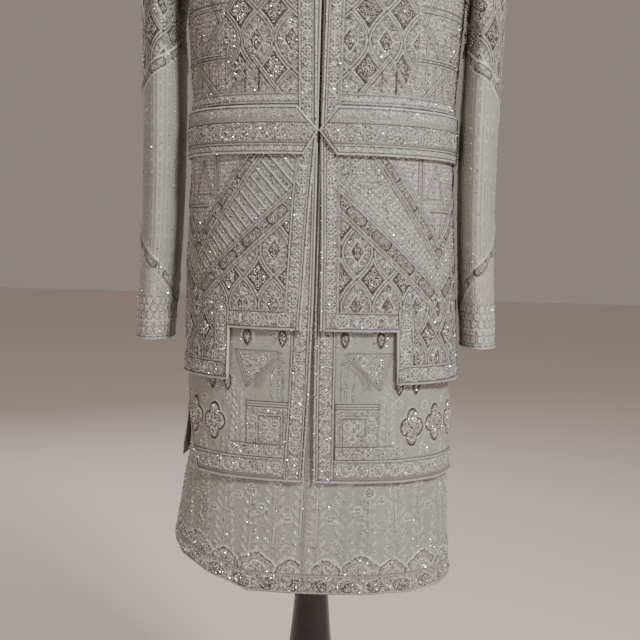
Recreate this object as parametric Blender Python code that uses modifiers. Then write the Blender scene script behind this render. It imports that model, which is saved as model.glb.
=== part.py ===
"""Three-layer sherwani coat on a limbless dress form with a turned stand.

Metres, +Z up. The front of the coat faces -Y and the origin is on the floor, in the middle of the base.
Left and right are those of someone who faces the front: left is -X.
Every cloth panel is a wall on level rings: superellipses with their own half width, front depth and back
depth. Above the underarm the rings give way to columns that curve over the chest to neck and shoulder.
The walls are lofts between an outer and an inner grid of points, so seams keep an exact gap.
"""

import math

import bmesh
import bpy
import numpy as np

# Heights
HEM_LOWER = 0.512
HEM_MIDDLE = 0.653
HEM_OUTER_SIDE = 0.776
HEM_OUTER_FRONT = 0.841
SLIT_TOP = 0.800
LOWER_TOP = 1.072
BELT_MIDDLE = 1.081
BELT_HALF_HEIGHT = 0.0285
UNDERARM = 1.30
FORM_BOTTOM = 0.790

# Walls, seam gap and the ease of each layer's outer face over the body line
OUTER_WALL = 0.0020
LAYER_WALL = 0.0015
BELT_WALL = 0.0025
COLLAR_WALL = 0.0025
SEAM = 0.0004
EASES = {"outer": 0.0115, "middle": 0.0075, "lower": 0.0042, "belt": 0.0155, "form": -0.0025}
RING_POWER = 2.35

# The body line at each height, which the eases are measured from
FORM_SECTIONS = (
    # height, half_width, front_depth, back_depth
    (0.500, 0.1640, 0.114, 0.118),
    (0.780, 0.1640, 0.114, 0.118),
    (0.880, 0.1640, 0.114, 0.117),
    (0.940, 0.1630, 0.112, 0.114),
    (0.995, 0.1610, 0.111, 0.109),
    (1.050, 0.1600, 0.111, 0.106),
    (1.135, 0.1600, 0.113, 0.107),
    (1.200, 0.1640, 0.115, 0.111),
    (1.264, 0.1685, 0.116, 0.116),
    (1.300, 0.1700, 0.115, 0.118),
)

# How far a hem stands out beyond its layer's ease, and the height where it starts to
HEMS = {"outer": HEM_OUTER_SIDE, "middle": HEM_MIDDLE, "lower": HEM_LOWER}
FLARE_POWERS = {"outer": 1.5, "middle": 1.0, "lower": 0.9}
SIDE_FLARES = {
    # (layer, face, side): (start_height, out)
    ("outer", "front", -1): (1.020, 0.0012),
    ("outer", "front", 1): (1.020, 0.0110),
    ("outer", "back", -1): (1.020, 0.0012),
    ("outer", "back", 1): (1.020, 0.0110),
    ("middle", "front", -1): (0.745, 0.0025),
    ("middle", "front", 1): (0.860, 0.0100),
    ("middle", "back", -1): (0.745, 0.0105),
    ("middle", "back", 1): (0.860, 0.0100),
    ("lower", "front", -1): (0.672, 0.0235),
    ("lower", "front", 1): (0.800, 0.0170),
    ("lower", "back", -1): (0.672, 0.0235),
    ("lower", "back", 1): (0.800, 0.0170),
}
DEPTH_FLARES = {
    # (layer, face): (start_height, out)
    ("outer", "front"): (1.020, 0.0030),
    ("outer", "back"): (1.020, 0.0060),
    ("middle", "front"): (0.860, 0.0025),
    ("middle", "back"): (0.860, 0.0060),
    ("lower", "front"): (0.690, 0.0070),
    ("lower", "back"): (0.690, 0.0140),
}

# Front edges: x at each height
FRONT_EDGES = {
    # (layer, side): rows of (height, x)
    ("outer", -1): ((0.841, -0.0158), (0.997, -0.0083), (1.075, -0.0022), (1.104, -0.0028), (1.300, -0.0070)),
    ("outer", 1): ((0.841, 0.0079), (0.939, 0.0069), (1.075, 0.0030), (1.104, 0.0036), (1.300, 0.0068)),
    ("middle", -1): ((0.653, -0.0087), (0.756, -0.0042), (0.880, -0.0012), (1.300, -0.0006)),
    ("middle", 1): ((0.653, 0.0039), (0.756, 0.0024), (0.880, 0.0012), (1.300, 0.0030)),
    ("lower", -1): ((0.512, -0.0105), (0.646, -0.0076), (1.072, -0.0042)),
    ("lower", 1): ((0.512, -0.0101), (0.646, -0.0072), (1.072, -0.0038)),
}

# Columns of a front as shares of the quarter turn from centre front to side seam, and rows up the body
STEP_SHARES = {-1: 0.368, 1: 0.335}
FRONT_COLUMNS = (0.0, 0.07, 0.15, 0.25, "step", 0.47, 0.60, 0.73, 0.865, 1.0)
BACK_COLUMNS = (0.0, 0.11, 0.22, 0.33, 0.44, 0.56, 0.67, 0.78, 0.89, 1.0)
SLIT_CURLS = {-1: 0.39, 1: 0.05}
SLIT_CURL_POWER = 0.8
SLIT_CURL_FROM = 0.47
LEFT_HEM_LIFT = 0.046
LEFT_LIFT_FROM = 0.22
LEFT_LIFT_POWER = 0.85
OUTER_ROWS = (HEM_OUTER_SIDE, HEM_OUTER_FRONT, 0.900, 0.960, 1.020, 1.080, 1.145, 1.220, UNDERARM)
MIDDLE_ROWS = (HEM_MIDDLE, 0.682, 0.712, 0.745, HEM_OUTER_SIDE, SLIT_TOP) + OUTER_ROWS[1:]
LOWER_ROWS = (HEM_LOWER, 0.555, 0.605, 0.653, 0.700, 0.745) + OUTER_ROWS[:5] + (LOWER_TOP,)
YOKE_ROWS = 7

# Neck, shoulder and armhole of the form
NECK_HALF_WIDTH = 0.064
NECK_HALF_DEPTH = 0.066
NECK_CENTRE_Y = 0.006
NECK_FRONT_HEIGHT = 1.418
NECK_BACK_HEIGHT = 1.474
NECK_SIDE_TURN = math.radians(94)
NECK_SHARE = 0.40
NECK_EASE_SHARE = 0.3
SHOULDER_TIP = (0.1780, 0.004, 1.428)
ARMHOLE_HALF_DEPTH = 0.050
ARMHOLE_INSET = 0.012
CHEST_BEND = (0.35, 0.86, 0.66)
MIDDLE_TUCK = 0.0022

# Sleeve outline seen from the front, right side; each row is one ring
SLEEVE_SECTIONS = (
    # outer_x, outer_height, inner_x, inner_height, half_depth, wrap
    (0.2080, 1.4290, 0.1885, 1.2890, 0.0600, 0.0120),
    (0.2210, 1.4030, 0.1880, 1.2770, 0.0620, 0.0110),
    (0.2285, 1.3620, 0.1870, 1.2640, 0.0640, 0.0100),
    (0.2315, 1.3100, 0.1860, 1.2480, 0.0660, 0.0090),
    (0.2315, 1.2550, 0.1850, 1.2250, 0.0670, 0.0085),
    (0.2300, 1.1950, 0.1830, 1.1900, 0.0660, 0.0080),
    (0.2290, 1.1300, 0.1810, 1.1300, 0.0640, 0.0070),
    (0.2285, 1.0600, 0.1805, 1.0600, 0.0620, 0.0060),
    (0.2290, 0.9900, 0.1820, 0.9900, 0.0590, 0.0060),
    (0.2310, 0.9200, 0.1850, 0.9200, 0.0560, 0.0050),
    (0.2340, 0.8600, 0.1890, 0.8600, 0.0530, 0.0040),
    (0.2360, 0.8160, 0.1920, 0.8160, 0.0510, 0.0040),
)
SLEEVE_HEAD_LENGTH = 0.004
SLEEVE_SEAM_STEP = 3
LEFT_SLEEVE_OUT = 0.0095
LEFT_SLEEVE_IN = 0.0060
SWING_TOP = 1.440
SWING_SPAN = 0.190

# Belt: a pointed half from each side seam, and a back
BELT_LEVELS = (-1.0, 0.0, 1.0)
BELT_ENDS = {
    # side: (bottom_x, point_x, top_x)
    -1: (-0.0170, -0.0003, -0.0268),
    1: (0.0226, 0.0003, 0.0222),
}

# Collar
COLLAR_HEIGHT = 0.038
COLLAR_LEAN = 0.0025
COLLAR_GAP_TURN = math.radians(5)
COLLAR_COLUMNS = 25

# Form, post and base
TORSO_COLUMNS = (0.0, 0.1, 0.2, 0.3, NECK_SHARE, 0.5, 0.6, 0.7, 0.8, 0.9, 1.0)
NECK_RINGS = (
    # half_width, half_depth, height above the neckline at the front, share of the neckline's slope kept
    (0.0585, 0.0605, 0.020, 0.90),
    (0.0560, 0.0580, 0.062, 0.40),
    (0.0560, 0.0580, 0.118, 0.00),
)
CAP_BOTTOM = 1.5364
CAP_PROFILE = (
    # radius, height above the cap's bottom
    (0.0000, 0.0230),
    (0.0160, 0.0222),
    (0.0300, 0.0200),
    (0.0440, 0.0160),
    (0.0530, 0.0120),
    (0.0570, 0.0080),
    (0.0575, 0.0040),
    (0.0560, 0.0000),
    (0.0000, 0.0000),
)
FLANGE_PROFILE = (
    (0.0000, 0.7897),
    (0.0480, 0.7897),
    (0.0500, 0.7850),
    (0.0480, 0.7780),
    (0.0340, 0.7720),
    (0.0000, 0.7720),
)
POST_PROFILE = (
    # radius, height
    (0.0000, 0.7717),
    (0.0215, 0.7717),
    (0.0215, 0.7400),
    (0.0195, 0.7200),
    (0.0190, 0.6400),
    (0.0198, 0.5600),
    (0.0213, 0.5000),
    (0.0236, 0.4560),
    (0.0262, 0.4250),
    (0.0292, 0.3960),
    (0.0322, 0.3600),
    (0.0335, 0.3250),
    (0.0310, 0.2900),
    (0.0255, 0.2600),
    (0.0215, 0.2440),
    (0.0290, 0.2380),
    (0.0310, 0.2310),
    (0.0290, 0.2240),
    (0.0205, 0.2180),
    (0.0205, 0.1800),
    (0.0240, 0.1300),
    (0.0310, 0.0850),
    (0.0400, 0.0560),
    (0.0480, 0.0420),
    (0.0480, 0.0343),
    (0.0000, 0.0343),
)
BASE_PROFILE = (
    (0.0000, 0.0340),
    (0.1250, 0.0340),
    (0.1500, 0.0320),
    (0.1640, 0.0280),
    (0.1680, 0.0240),
    (0.1780, 0.0220),
    (0.1850, 0.0170),
    (0.1850, 0.0000),
    (0.0000, 0.0000),
)
TURNED_SIDES = 32
BASE_SIDES = 56


def clear_scene():
    for scene_object in list(bpy.data.objects):
        bpy.data.objects.remove(scene_object)


def make_material(name, colour, roughness, metallic=0.0):
    material = bpy.data.materials.new(name)
    material.use_nodes = True
    shader = material.node_tree.nodes["Principled BSDF"]
    shader.inputs["Base Color"].default_value = (*colour, 1.0)
    shader.inputs["Roughness"].default_value = roughness
    shader.inputs["Metallic"].default_value = metallic
    return material


def table_value(rows, column, height):
    """One column of a table at a height: a cubic through its rows, held level beyond them."""
    heights = np.array([row[0] for row in rows])
    values = np.array([row[column] for row in rows])
    slopes = np.gradient(values, heights)
    height = min(max(height, heights[0]), heights[-1])
    i = min(int(np.searchsorted(heights, height, side="right")) - 1, len(rows) - 2)
    span = heights[i + 1] - heights[i]
    t = (height - heights[i]) / span
    start = values[i] * (2 * t**3 - 3 * t**2 + 1) + slopes[i] * span * (t**3 - 2 * t**2 + t)
    end = values[i + 1] * (3 * t**2 - 2 * t**3) + slopes[i + 1] * span * (t**3 - t**2)
    return float(start + end)


def straight_value(rows, height):
    return float(np.interp(height, [row[0] for row in rows], [row[1] for row in rows]))


def signed_power(value, power):
    return math.copysign(abs(value) ** power, value)


def flare(layer, flares, key, height):
    """Outward growth of a hem: nothing above its start, all of it at the hem."""
    if key not in flares:
        return 0.0
    start, out = flares[key]
    share = max(0.0, (start - height) / (start - HEMS[layer]))
    return out * share ** FLARE_POWERS[layer]


def ring_sizes(layer, face, side, height, depth_in):
    ease = EASES[layer] - depth_in
    column = 2 if face == "front" else 3
    half_width = table_value(FORM_SECTIONS, 1, height) + ease
    depth = table_value(FORM_SECTIONS, column, height) + ease
    half_width += flare(layer, SIDE_FLARES, (layer, face, side), height)
    depth += flare(layer, DEPTH_FLARES, (layer, face), height)
    return half_width, depth


def ring_point(layer, face, side, share, height, depth_in=0.0):
    """Share 0 is the centre line and 1 the side; depth_in moves the point into the wall."""
    half_width, depth = ring_sizes(layer, face, side, height, depth_in)
    angle = share * math.pi / 2
    x = side * half_width * signed_power(math.sin(angle), 2 / RING_POWER)
    y = depth * max(math.cos(angle), 0.0) ** (2 / RING_POWER)
    return np.array([x, -y if face == "front" else y, height])


def share_at(layer, side, x, height):
    """The front column's share whose point has this x."""
    half_width = ring_sizes(layer, "front", side, height, 0.0)[0]
    return math.asin(signed_power(side * x / half_width, RING_POWER / 2)) / (math.pi / 2)


def neckline_point(ease, side, turn):
    """Turn runs from 0 at the front to pi at the back."""
    half_width = NECK_HALF_WIDTH + ease * NECK_EASE_SHARE
    half_depth = NECK_HALF_DEPTH + ease * NECK_EASE_SHARE
    rise = (1 - math.cos(turn)) / 2
    height = NECK_FRONT_HEIGHT + (NECK_BACK_HEIGHT - NECK_FRONT_HEIGHT) * rise + ease
    return np.array([side * half_width * math.sin(turn), NECK_CENTRE_Y - half_depth * math.cos(turn), height])


def top_point(ease, face, side, share):
    """The neckline from the centre to NECK_SHARE, then the shoulder seam out to its tip."""
    if share <= NECK_SHARE:
        turn = share / NECK_SHARE * NECK_SIDE_TURN
        if face == "back":
            turn = math.pi - share / NECK_SHARE * (math.pi - NECK_SIDE_TURN)
        return neckline_point(ease, side, turn)
    start = neckline_point(ease, side, NECK_SIDE_TURN)
    tip = np.array([side * (SHOULDER_TIP[0] + ease), SHOULDER_TIP[1], SHOULDER_TIP[2] + ease])
    return start + (tip - start) * (share - NECK_SHARE) / (1 - NECK_SHARE)


def armhole_point(layer, face, side, rise, depth_in=0.0):
    """Rise runs from 0 at the underarm to 1 at the shoulder tip."""
    underarm = ring_point(layer, face, side, 1.0, UNDERARM, depth_in)
    tip = top_point(EASES[layer] - depth_in, face, side, 1.0)
    bow = math.sin(math.pi * rise)
    x = underarm[0] + (tip[0] - underarm[0]) * rise - side * ARMHOLE_INSET * bow
    half_depth = ARMHOLE_HALF_DEPTH + EASES[layer] - depth_in
    y = tip[1] * rise + half_depth * bow * (-1 if face == "front" else 1)
    height = underarm[2] + (tip[2] - underarm[2]) * (1 - math.cos(math.pi * rise)) / 2
    return np.array([x, y, height])


def yoke_column(layer, face, side, share, rise, depth_in):
    base = ring_point(layer, face, side, share, UNDERARM, depth_in)
    top = top_point(EASES[layer] - depth_in, face, side, share)
    bend = np.array([
        base[0] + (top[0] - base[0]) * CHEST_BEND[0],
        base[1] * CHEST_BEND[1],
        base[2] + (top[2] - base[2]) * CHEST_BEND[2],
    ])
    return base * (1 - rise) ** 2 + bend * 2 * rise * (1 - rise) + top * rise**2


def body_point(layer, face, side, share, row, depth_in=0.0):
    """Row is a height up to the underarm; above it, the underarm plus the rise from 0 to 1."""
    if row <= UNDERARM:
        return ring_point(layer, face, side, share, row, depth_in)
    rise = row - UNDERARM
    if layer == "middle":
        depth_in += MIDDLE_TUCK * min(1.0, 3 * rise)
    point = yoke_column(layer, face, side, share, rise, depth_in)
    weight = max(0.0, (share - NECK_SHARE) / (1 - NECK_SHARE)) ** 2
    rim = armhole_point(layer, face, side, rise, depth_in)
    pull = rim - yoke_column(layer, face, side, 1.0, rise, depth_in)
    return point + pull * weight


def wall_mesh(name, outer, inner, kept=None):
    """One closed wall between two equal grids of points; kept marks the cells that exist."""
    columns, rows = len(outer), len(outer[0])
    if kept is None:
        kept = np.ones((columns - 1, rows - 1), bool)
    bm = bmesh.new()
    outside = [[bm.verts.new(point) for point in column] for column in outer]
    inside = [[bm.verts.new(point) for point in column] for column in inner]

    def is_kept(i, j):
        return 0 <= i < columns - 1 and 0 <= j < rows - 1 and kept[i][j]

    for i in range(columns - 1):
        for j in range(rows - 1):
            if not kept[i][j]:
                continue
            corners = ((i, j), (i + 1, j), (i + 1, j + 1), (i, j + 1))
            neighbours = ((i, j - 1), (i + 1, j), (i, j + 1), (i - 1, j))
            bm.faces.new([outside[a][b] for a, b in corners])
            bm.faces.new([inside[a][b] for a, b in reversed(corners)])
            for k, neighbour in enumerate(neighbours):
                if not is_kept(*neighbour):
                    (a, b), (c, d) = corners[k], corners[(k + 1) % 4]
                    bm.faces.new([outside[c][d], outside[a][b], inside[a][b], inside[c][d]])
    bmesh.ops.delete(bm, geom=[vert for vert in bm.verts if not vert.link_faces], context="VERTS")
    return finish_mesh(name, bm)


def finish_mesh(name, bm):
    bmesh.ops.recalc_face_normals(bm, faces=bm.faces)
    mesh = bpy.data.meshes.new(name)
    bm.to_mesh(mesh)
    bm.free()
    return mesh


def add_object(name, mesh, material, collection):
    mesh.materials.append(material)
    mesh.shade_smooth()
    mesh.set_sharp_from_angle(angle=math.radians(40))
    new_object = bpy.data.objects.new(name, mesh)
    collection.objects.link(new_object)
    return new_object


def with_yoke(rows):
    return rows + tuple(UNDERARM + (k + 1) / YOKE_ROWS for k in range(YOKE_ROWS))


def seamed(point, face, share, row=0.0):
    """Half a seam gap off the side line and the shoulder line."""
    if share == 1.0 or (row == UNDERARM + 1 and share >= NECK_SHARE):
        point[1] += SEAM / 2 * (-1 if face == "front" else 1)
    return point


def curled_share(layer, side, share, row):
    """The middle layer's fronts draw back from the side seam below the slit's top."""
    if layer != "middle" or row >= SLIT_TOP or share <= SLIT_CURL_FROM:
        return share
    drop = (SLIT_TOP - row) / (SLIT_TOP - HEM_MIDDLE)
    edge = 1 - SLIT_CURLS[side] * drop**SLIT_CURL_POWER
    return SLIT_CURL_FROM + (share - SLIT_CURL_FROM) * (edge - SLIT_CURL_FROM) / (1 - SLIT_CURL_FROM)


def lifted_row(layer, side, share, row):
    """The lowest layer's hem climbs towards the left side seam."""
    if layer != "lower" or side > 0 or row >= HEM_MIDDLE:
        return row
    drop = (HEM_MIDDLE - row) / (HEM_MIDDLE - HEM_LOWER)
    out = max(0.0, (share - LEFT_LIFT_FROM) / (1 - LEFT_LIFT_FROM))
    return row + LEFT_HEM_LIFT * drop * out**LEFT_LIFT_POWER


def front_mesh(name, layer, side, rows, wall):
    """One front, from its edge at centre front to the side seam."""
    columns = [STEP_SHARES[side] if share == "step" else share for share in FRONT_COLUMNS]
    grids = []
    for depth_in in (0.0, wall):
        grid = []
        for share in columns:
            line = []
            for row in rows:
                height = min(row, UNDERARM)
                at = curled_share(layer, side, share, row)
                if share == 0.0:
                    at = share_at(layer, side, straight_value(FRONT_EDGES[(layer, side)], height), height)
                level = lifted_row(layer, side, at, row)
                point = body_point(layer, "front", side, at, level, depth_in)
                line.append(seamed(point, "front", share, row))
            grid.append(line)
        grids.append(grid)
    kept = np.ones((len(columns) - 1, len(rows) - 1), bool)
    if layer == "outer":
        kept[: columns.index(STEP_SHARES[side]), 0] = False
    return wall_mesh(name, grids[0], grids[1], kept)


def back_mesh(name, layer, rows, wall):
    """The back in one piece, from side seam to side seam."""
    columns = [(-1, share) for share in reversed(BACK_COLUMNS[1:])] + [(1, share) for share in BACK_COLUMNS]
    grids = []
    for depth_in in (0.0, wall):
        grid = []
        for side, share in columns:
            line = []
            for row in rows:
                level = lifted_row(layer, side, share, row)
                point = body_point(layer, "back", side, share, level, depth_in)
                line.append(seamed(point, "back", share, row))
            grid.append(line)
        grids.append(grid)
    return wall_mesh(name, *grids)


def sleeve_ring(side, ring, turn, depth_in):
    """A point of one sleeve ring; turn is 0 at the underarm, pi at the outside, negative behind."""
    face = "front" if turn >= 0 else "back"
    if ring < 2:
        rise = min(abs(turn) / math.pi, 1.0)
        point = armhole_point("outer", face, side, rise)
        centre = (armhole_point("outer", face, side, 0.0) + armhole_point("outer", face, side, 1.0)) / 2
        inward = centre - point
        inward[0] = 0.0
        point = point + inward / np.linalg.norm(inward) * depth_in
        point[0] += side * (SEAM + ring * SLEEVE_HEAD_LENGTH)
        return point
    outer_x, outer_z, inner_x, inner_z, half_depth, wrap = SLEEVE_SECTIONS[ring - 2]
    if side < 0:
        swing = min(max((SWING_TOP - outer_z) / SWING_SPAN, 0.0), 1.0)
        outer_x += LEFT_SLEEVE_OUT * swing
        inner_x += LEFT_SLEEVE_IN * swing
    outward = np.array([side * (outer_x - inner_x), 0.0, outer_z - inner_z]) / 2
    centre = np.array([side * (outer_x + inner_x) / 2, 0.0, (outer_z + inner_z) / 2])
    half_out = np.linalg.norm(outward)
    outward = outward / half_out * (half_out - depth_in)
    point = centre - outward * math.cos(turn)
    point[0] -= side * wrap * math.sin(turn) ** 2
    point[1] -= (half_depth - depth_in) * math.sin(turn)
    return point


def sleeve_mesh(name, side, first_step, last_step):
    """A sleeve piece between two seams, from the armhole to the open cuff."""
    step = math.pi / YOKE_ROWS
    gap_turn = 0.003
    turns = [step * k for k in range(first_step, last_step + 1)]
    turns[0] += gap_turn
    turns[-1] -= gap_turn
    turns = [turn - 2 * math.pi if turn > math.pi else turn for turn in turns]
    rings = range(len(SLEEVE_SECTIONS) + 2)
    grids = [
        [[sleeve_ring(side, ring, turn, depth_in) for ring in rings] for turn in turns]
        for depth_in in (0.0, OUTER_WALL)
    ]
    return wall_mesh(name, *grids)


def belt_half_mesh(name, side):
    """A front half of the belt, whose pointed end meets the other at centre front."""
    bottom_x, point_x, top_x = BELT_ENDS[side]
    columns = [STEP_SHARES[side] if share == "step" else share for share in FRONT_COLUMNS]
    grids = []
    for depth_in in (0.0, BELT_WALL):
        grid = []
        for share in columns:
            line = []
            for level in BELT_LEVELS:
                corner_x = top_x if level > 0 else bottom_x
                end_x = point_x + (corner_x - point_x) * abs(level)
                height = BELT_MIDDLE + BELT_HALF_HEIGHT * level
                end = share_at("belt", side, end_x, height)
                at = end + (1 - end) * share
                line.append(seamed(ring_point("belt", "front", side, at, height, depth_in), "front", share))
            grid.append(line)
        grids.append(grid)
    return wall_mesh(name, *grids)


def belt_back_mesh(name):
    columns = [(-1, share) for share in reversed(BACK_COLUMNS[1:])] + [(1, share) for share in BACK_COLUMNS]
    heights = [BELT_MIDDLE + BELT_HALF_HEIGHT * level for level in BELT_LEVELS]
    grids = [
        [
            [seamed(ring_point("belt", "back", side, share, height, depth_in), "back", share)
             for height in heights]
            for side, share in columns
        ]
        for depth_in in (0.0, BELT_WALL)
    ]
    return wall_mesh(name, *grids)


def collar_mesh(name):
    """A stand collar round the neckline, open at centre front."""
    turns = np.linspace(COLLAR_GAP_TURN, 2 * math.pi - COLLAR_GAP_TURN, COLLAR_COLUMNS)
    grids = []
    for depth_in in (0.0, COLLAR_WALL):
        grid = []
        for turn in turns:
            side = 1 if turn <= math.pi else -1
            base = neckline_point(EASES["outer"], side, min(turn, 2 * math.pi - turn))
            inward = np.array([0.0, NECK_CENTRE_Y, base[2]]) - base
            inward[2] = 0.0
            inward /= np.linalg.norm(inward)
            low = base + inward * (depth_in + 0.001) + np.array([0.0, 0.0, 0.0012])
            high = low + inward * COLLAR_LEAN + np.array([0.0, 0.0, COLLAR_HEIGHT])
            grid.append([low, (low + high) / 2, high])
        grids.append(grid)
    return wall_mesh(name, *grids)


def torso_mesh(name):
    """The limbless form: one closed body with flat arm ends, a neck and a flat underside."""
    rows = with_yoke((FORM_BOTTOM,) + OUTER_ROWS[1:])
    shares = TORSO_COLUMNS
    bm = bmesh.new()
    for face in ("front", "back"):
        for side in (-1, 1):
            grid = [
                [bm.verts.new(body_point("form", face, side, share, row)) for row in rows]
                for share in shares
            ]
            for column, share in zip(grid, shares):
                if share > NECK_SHARE:
                    continue
                base = column[-1].co.copy()
                turn = math.atan2(abs(base[0]) / NECK_HALF_WIDTH, (NECK_CENTRE_Y - base[1]) / NECK_HALF_DEPTH)
                for half_width, half_depth, rise, kept in NECK_RINGS:
                    x = side * half_width * math.sin(turn)
                    y = NECK_CENTRE_Y - half_depth * math.cos(turn)
                    height = NECK_FRONT_HEIGHT + rise + (base[2] - NECK_FRONT_HEIGHT) * kept
                    column.append(bm.verts.new((x, y, height)))
            for i in range(len(shares) - 1):
                for j in range(min(len(grid[i]), len(grid[i + 1])) - 1):
                    bm.faces.new([grid[i][j], grid[i + 1][j], grid[i + 1][j + 1], grid[i][j + 1]])
    bmesh.ops.remove_doubles(bm, verts=bm.verts, dist=0.00001)
    bmesh.ops.holes_fill(bm, edges=[edge for edge in bm.edges if edge.is_boundary])
    bmesh.ops.triangulate(bm, faces=[face for face in bm.faces if len(face.verts) > 4])
    return finish_mesh(name, bm)


def turned_object(name, profile, sides, material, collection, lift=0.0):
    """A turned piece: its profile, top to bottom, swept round Z by a Screw."""
    mesh = bpy.data.meshes.new(name)
    points = [(radius, 0.0, height + lift) for radius, height in profile]
    mesh.from_pydata(points, [(k, k + 1) for k in range(len(points) - 1)], [])
    turned = bpy.data.objects.new(name, mesh)
    collection.objects.link(turned)
    mesh.materials.append(material)
    screw = turned.modifiers.new("turn", "SCREW")
    screw.axis = "Z"
    screw.steps = sides
    screw.render_steps = sides
    screw.use_merge_vertices = True
    screw.merge_threshold = 0.00005
    screw.use_smooth_shade = True
    return turned


def main():
    clear_scene()
    collection = bpy.data.collections.new("sherwani_coat_on_form")
    bpy.context.scene.collection.children.link(collection)
    brocade = make_material("silver_sage_brocade", (0.52, 0.50, 0.46), 0.50)
    under = make_material("silver_sage_under_layer", (0.48, 0.47, 0.43), 0.55)
    braid = make_material("silver_braid", (0.58, 0.55, 0.52), 0.45)
    cover = make_material("form_cover", (0.60, 0.56, 0.50), 0.90)
    wood = make_material("dark_wood", (0.035, 0.018, 0.014), 0.25)

    sides = {"left": -1, "right": 1}
    for word, side in sides.items():
        mesh = front_mesh(f"outer_front_{word}", "outer", side, with_yoke(OUTER_ROWS), OUTER_WALL)
        add_object(f"outer_front_{word}", mesh, brocade, collection)
        mesh = front_mesh(f"middle_front_{word}", "middle", side, with_yoke(MIDDLE_ROWS), LAYER_WALL)
        add_object(f"middle_front_{word}", mesh, under, collection)
        mesh = front_mesh(f"lower_front_{word}", "lower", side, LOWER_ROWS, LAYER_WALL)
        add_object(f"lower_front_{word}", mesh, under, collection)
        mesh = belt_half_mesh(f"belt_front_{word}", side)
        add_object(f"belt_front_{word}", mesh, braid, collection)
        mesh = sleeve_mesh(f"sleeve_under_{word}", side, -SLEEVE_SEAM_STEP, SLEEVE_SEAM_STEP)
        add_object(f"sleeve_under_{word}", mesh, brocade, collection)
        mesh = sleeve_mesh(f"sleeve_top_{word}", side, SLEEVE_SEAM_STEP, 2 * YOKE_ROWS - SLEEVE_SEAM_STEP)
        add_object(f"sleeve_top_{word}", mesh, brocade, collection)
    mesh = back_mesh("outer_back", "outer", with_yoke(OUTER_ROWS), OUTER_WALL)
    add_object("outer_back", mesh, brocade, collection)
    mesh = back_mesh("middle_back", "middle", with_yoke(MIDDLE_ROWS), LAYER_WALL)
    add_object("middle_back", mesh, under, collection)
    add_object("lower_back", back_mesh("lower_back", "lower", LOWER_ROWS, LAYER_WALL), under, collection)
    add_object("belt_back", belt_back_mesh("belt_back"), braid, collection)
    add_object("collar", collar_mesh("collar"), brocade, collection)
    add_object("form_torso", torso_mesh("form_torso"), cover, collection)
    turned_object("form_neck_cap", CAP_PROFILE, TURNED_SIDES, wood, collection, CAP_BOTTOM)
    turned_object("form_flange", FLANGE_PROFILE, TURNED_SIDES, wood, collection)
    turned_object("form_post", POST_PROFILE, TURNED_SIDES, wood, collection)
    turned_object("form_base", BASE_PROFILE, BASE_SIDES, wood, collection)


main()
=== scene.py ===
"""Three-layer embroidered sherwani coat with a pointed belt, on a limbless dress form with a turned stand.

Metres, +Z up. The coat's front faces -Y, and left is -X. Cloth is laid out flat as (a, v): a is the arc
length from centre front or centre back towards the side, and v is the height, so one drawing serves both sides.
"""

import math

import bmesh
import bpy
import numpy as np
from mathutils import Matrix, Vector


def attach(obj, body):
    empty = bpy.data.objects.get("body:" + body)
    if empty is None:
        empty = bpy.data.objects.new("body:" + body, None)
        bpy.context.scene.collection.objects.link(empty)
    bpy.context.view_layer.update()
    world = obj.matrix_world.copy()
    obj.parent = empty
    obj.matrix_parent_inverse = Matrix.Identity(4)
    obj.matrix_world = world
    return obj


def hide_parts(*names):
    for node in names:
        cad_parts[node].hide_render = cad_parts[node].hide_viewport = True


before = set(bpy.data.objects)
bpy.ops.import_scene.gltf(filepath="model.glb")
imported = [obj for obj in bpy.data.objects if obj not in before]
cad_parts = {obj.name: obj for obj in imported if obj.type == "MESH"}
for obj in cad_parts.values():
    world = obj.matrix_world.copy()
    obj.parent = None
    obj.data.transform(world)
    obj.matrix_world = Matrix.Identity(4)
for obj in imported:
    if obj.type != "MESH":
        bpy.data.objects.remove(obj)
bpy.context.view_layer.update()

# ---------------------------------------------------------------------------------------------------------
# Stand: a round base, a turned post, the collar it is screwed into under the form, and the neck cap.
# All four are dark hardwood, turned on a lathe, stained almost black and lacquered.

STAND_NODES = ("form_base", "form_post", "form_flange", "form_neck_cap")
WOOD_DARK = (0.0030, 0.0016, 0.0017, 1.0)
WOOD_BROWN = (0.0150, 0.0065, 0.0055, 1.0)


def new_material(name, roughness, metallic=0.0, coat=0.0, sheen=0.0):
    """A Principled material with its plain numbers set; returns the material, its tree and its shader."""
    material = bpy.data.materials.new(name)
    material.use_nodes = True
    shader = material.node_tree.nodes["Principled BSDF"]
    shader.inputs["Roughness"].default_value = roughness
    shader.inputs["Metallic"].default_value = metallic
    shader.inputs["Coat Weight"].default_value = coat
    shader.inputs["Sheen Weight"].default_value = sheen
    return material, material.node_tree, shader


def add_node(tree, kind, inputs=None, **settings):
    """A node with its settings, and its inputs by name or number: a plain value or a socket to link from."""
    made = tree.nodes.new(kind)
    for key, value in settings.items():
        setattr(made, key, value)
    for key, value in (inputs or {}).items():
        if isinstance(value, bpy.types.NodeSocket):
            tree.links.new(value, made.inputs[key])
        else:
            made.inputs[key].default_value = value
    return made


def mix_colour(tree, factor, low, high, mode="MIX"):
    """The colour output of a Mix node between two colours; sockets 6 and 7 are its colour inputs."""
    colours = {0: factor, 6: low, 7: high}
    return add_node(tree, "ShaderNodeMix", colours, data_type="RGBA", blend_type=mode).outputs[2]


def maths(tree, operation, first, second=0.0):
    """The output of a Math node on two values or sockets."""
    return add_node(tree, "ShaderNodeMath", {0: first, 1: second}, operation=operation).outputs[0]


def ranged(tree, value, low, high, to_low, to_high):
    """A socket's range from low to high carried over, clamped, to another range."""
    inputs = {"Value": value, "From Min": low, "From Max": high, "To Min": to_low, "To Max": to_high}
    return add_node(tree, "ShaderNodeMapRange", inputs).outputs[0]


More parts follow.
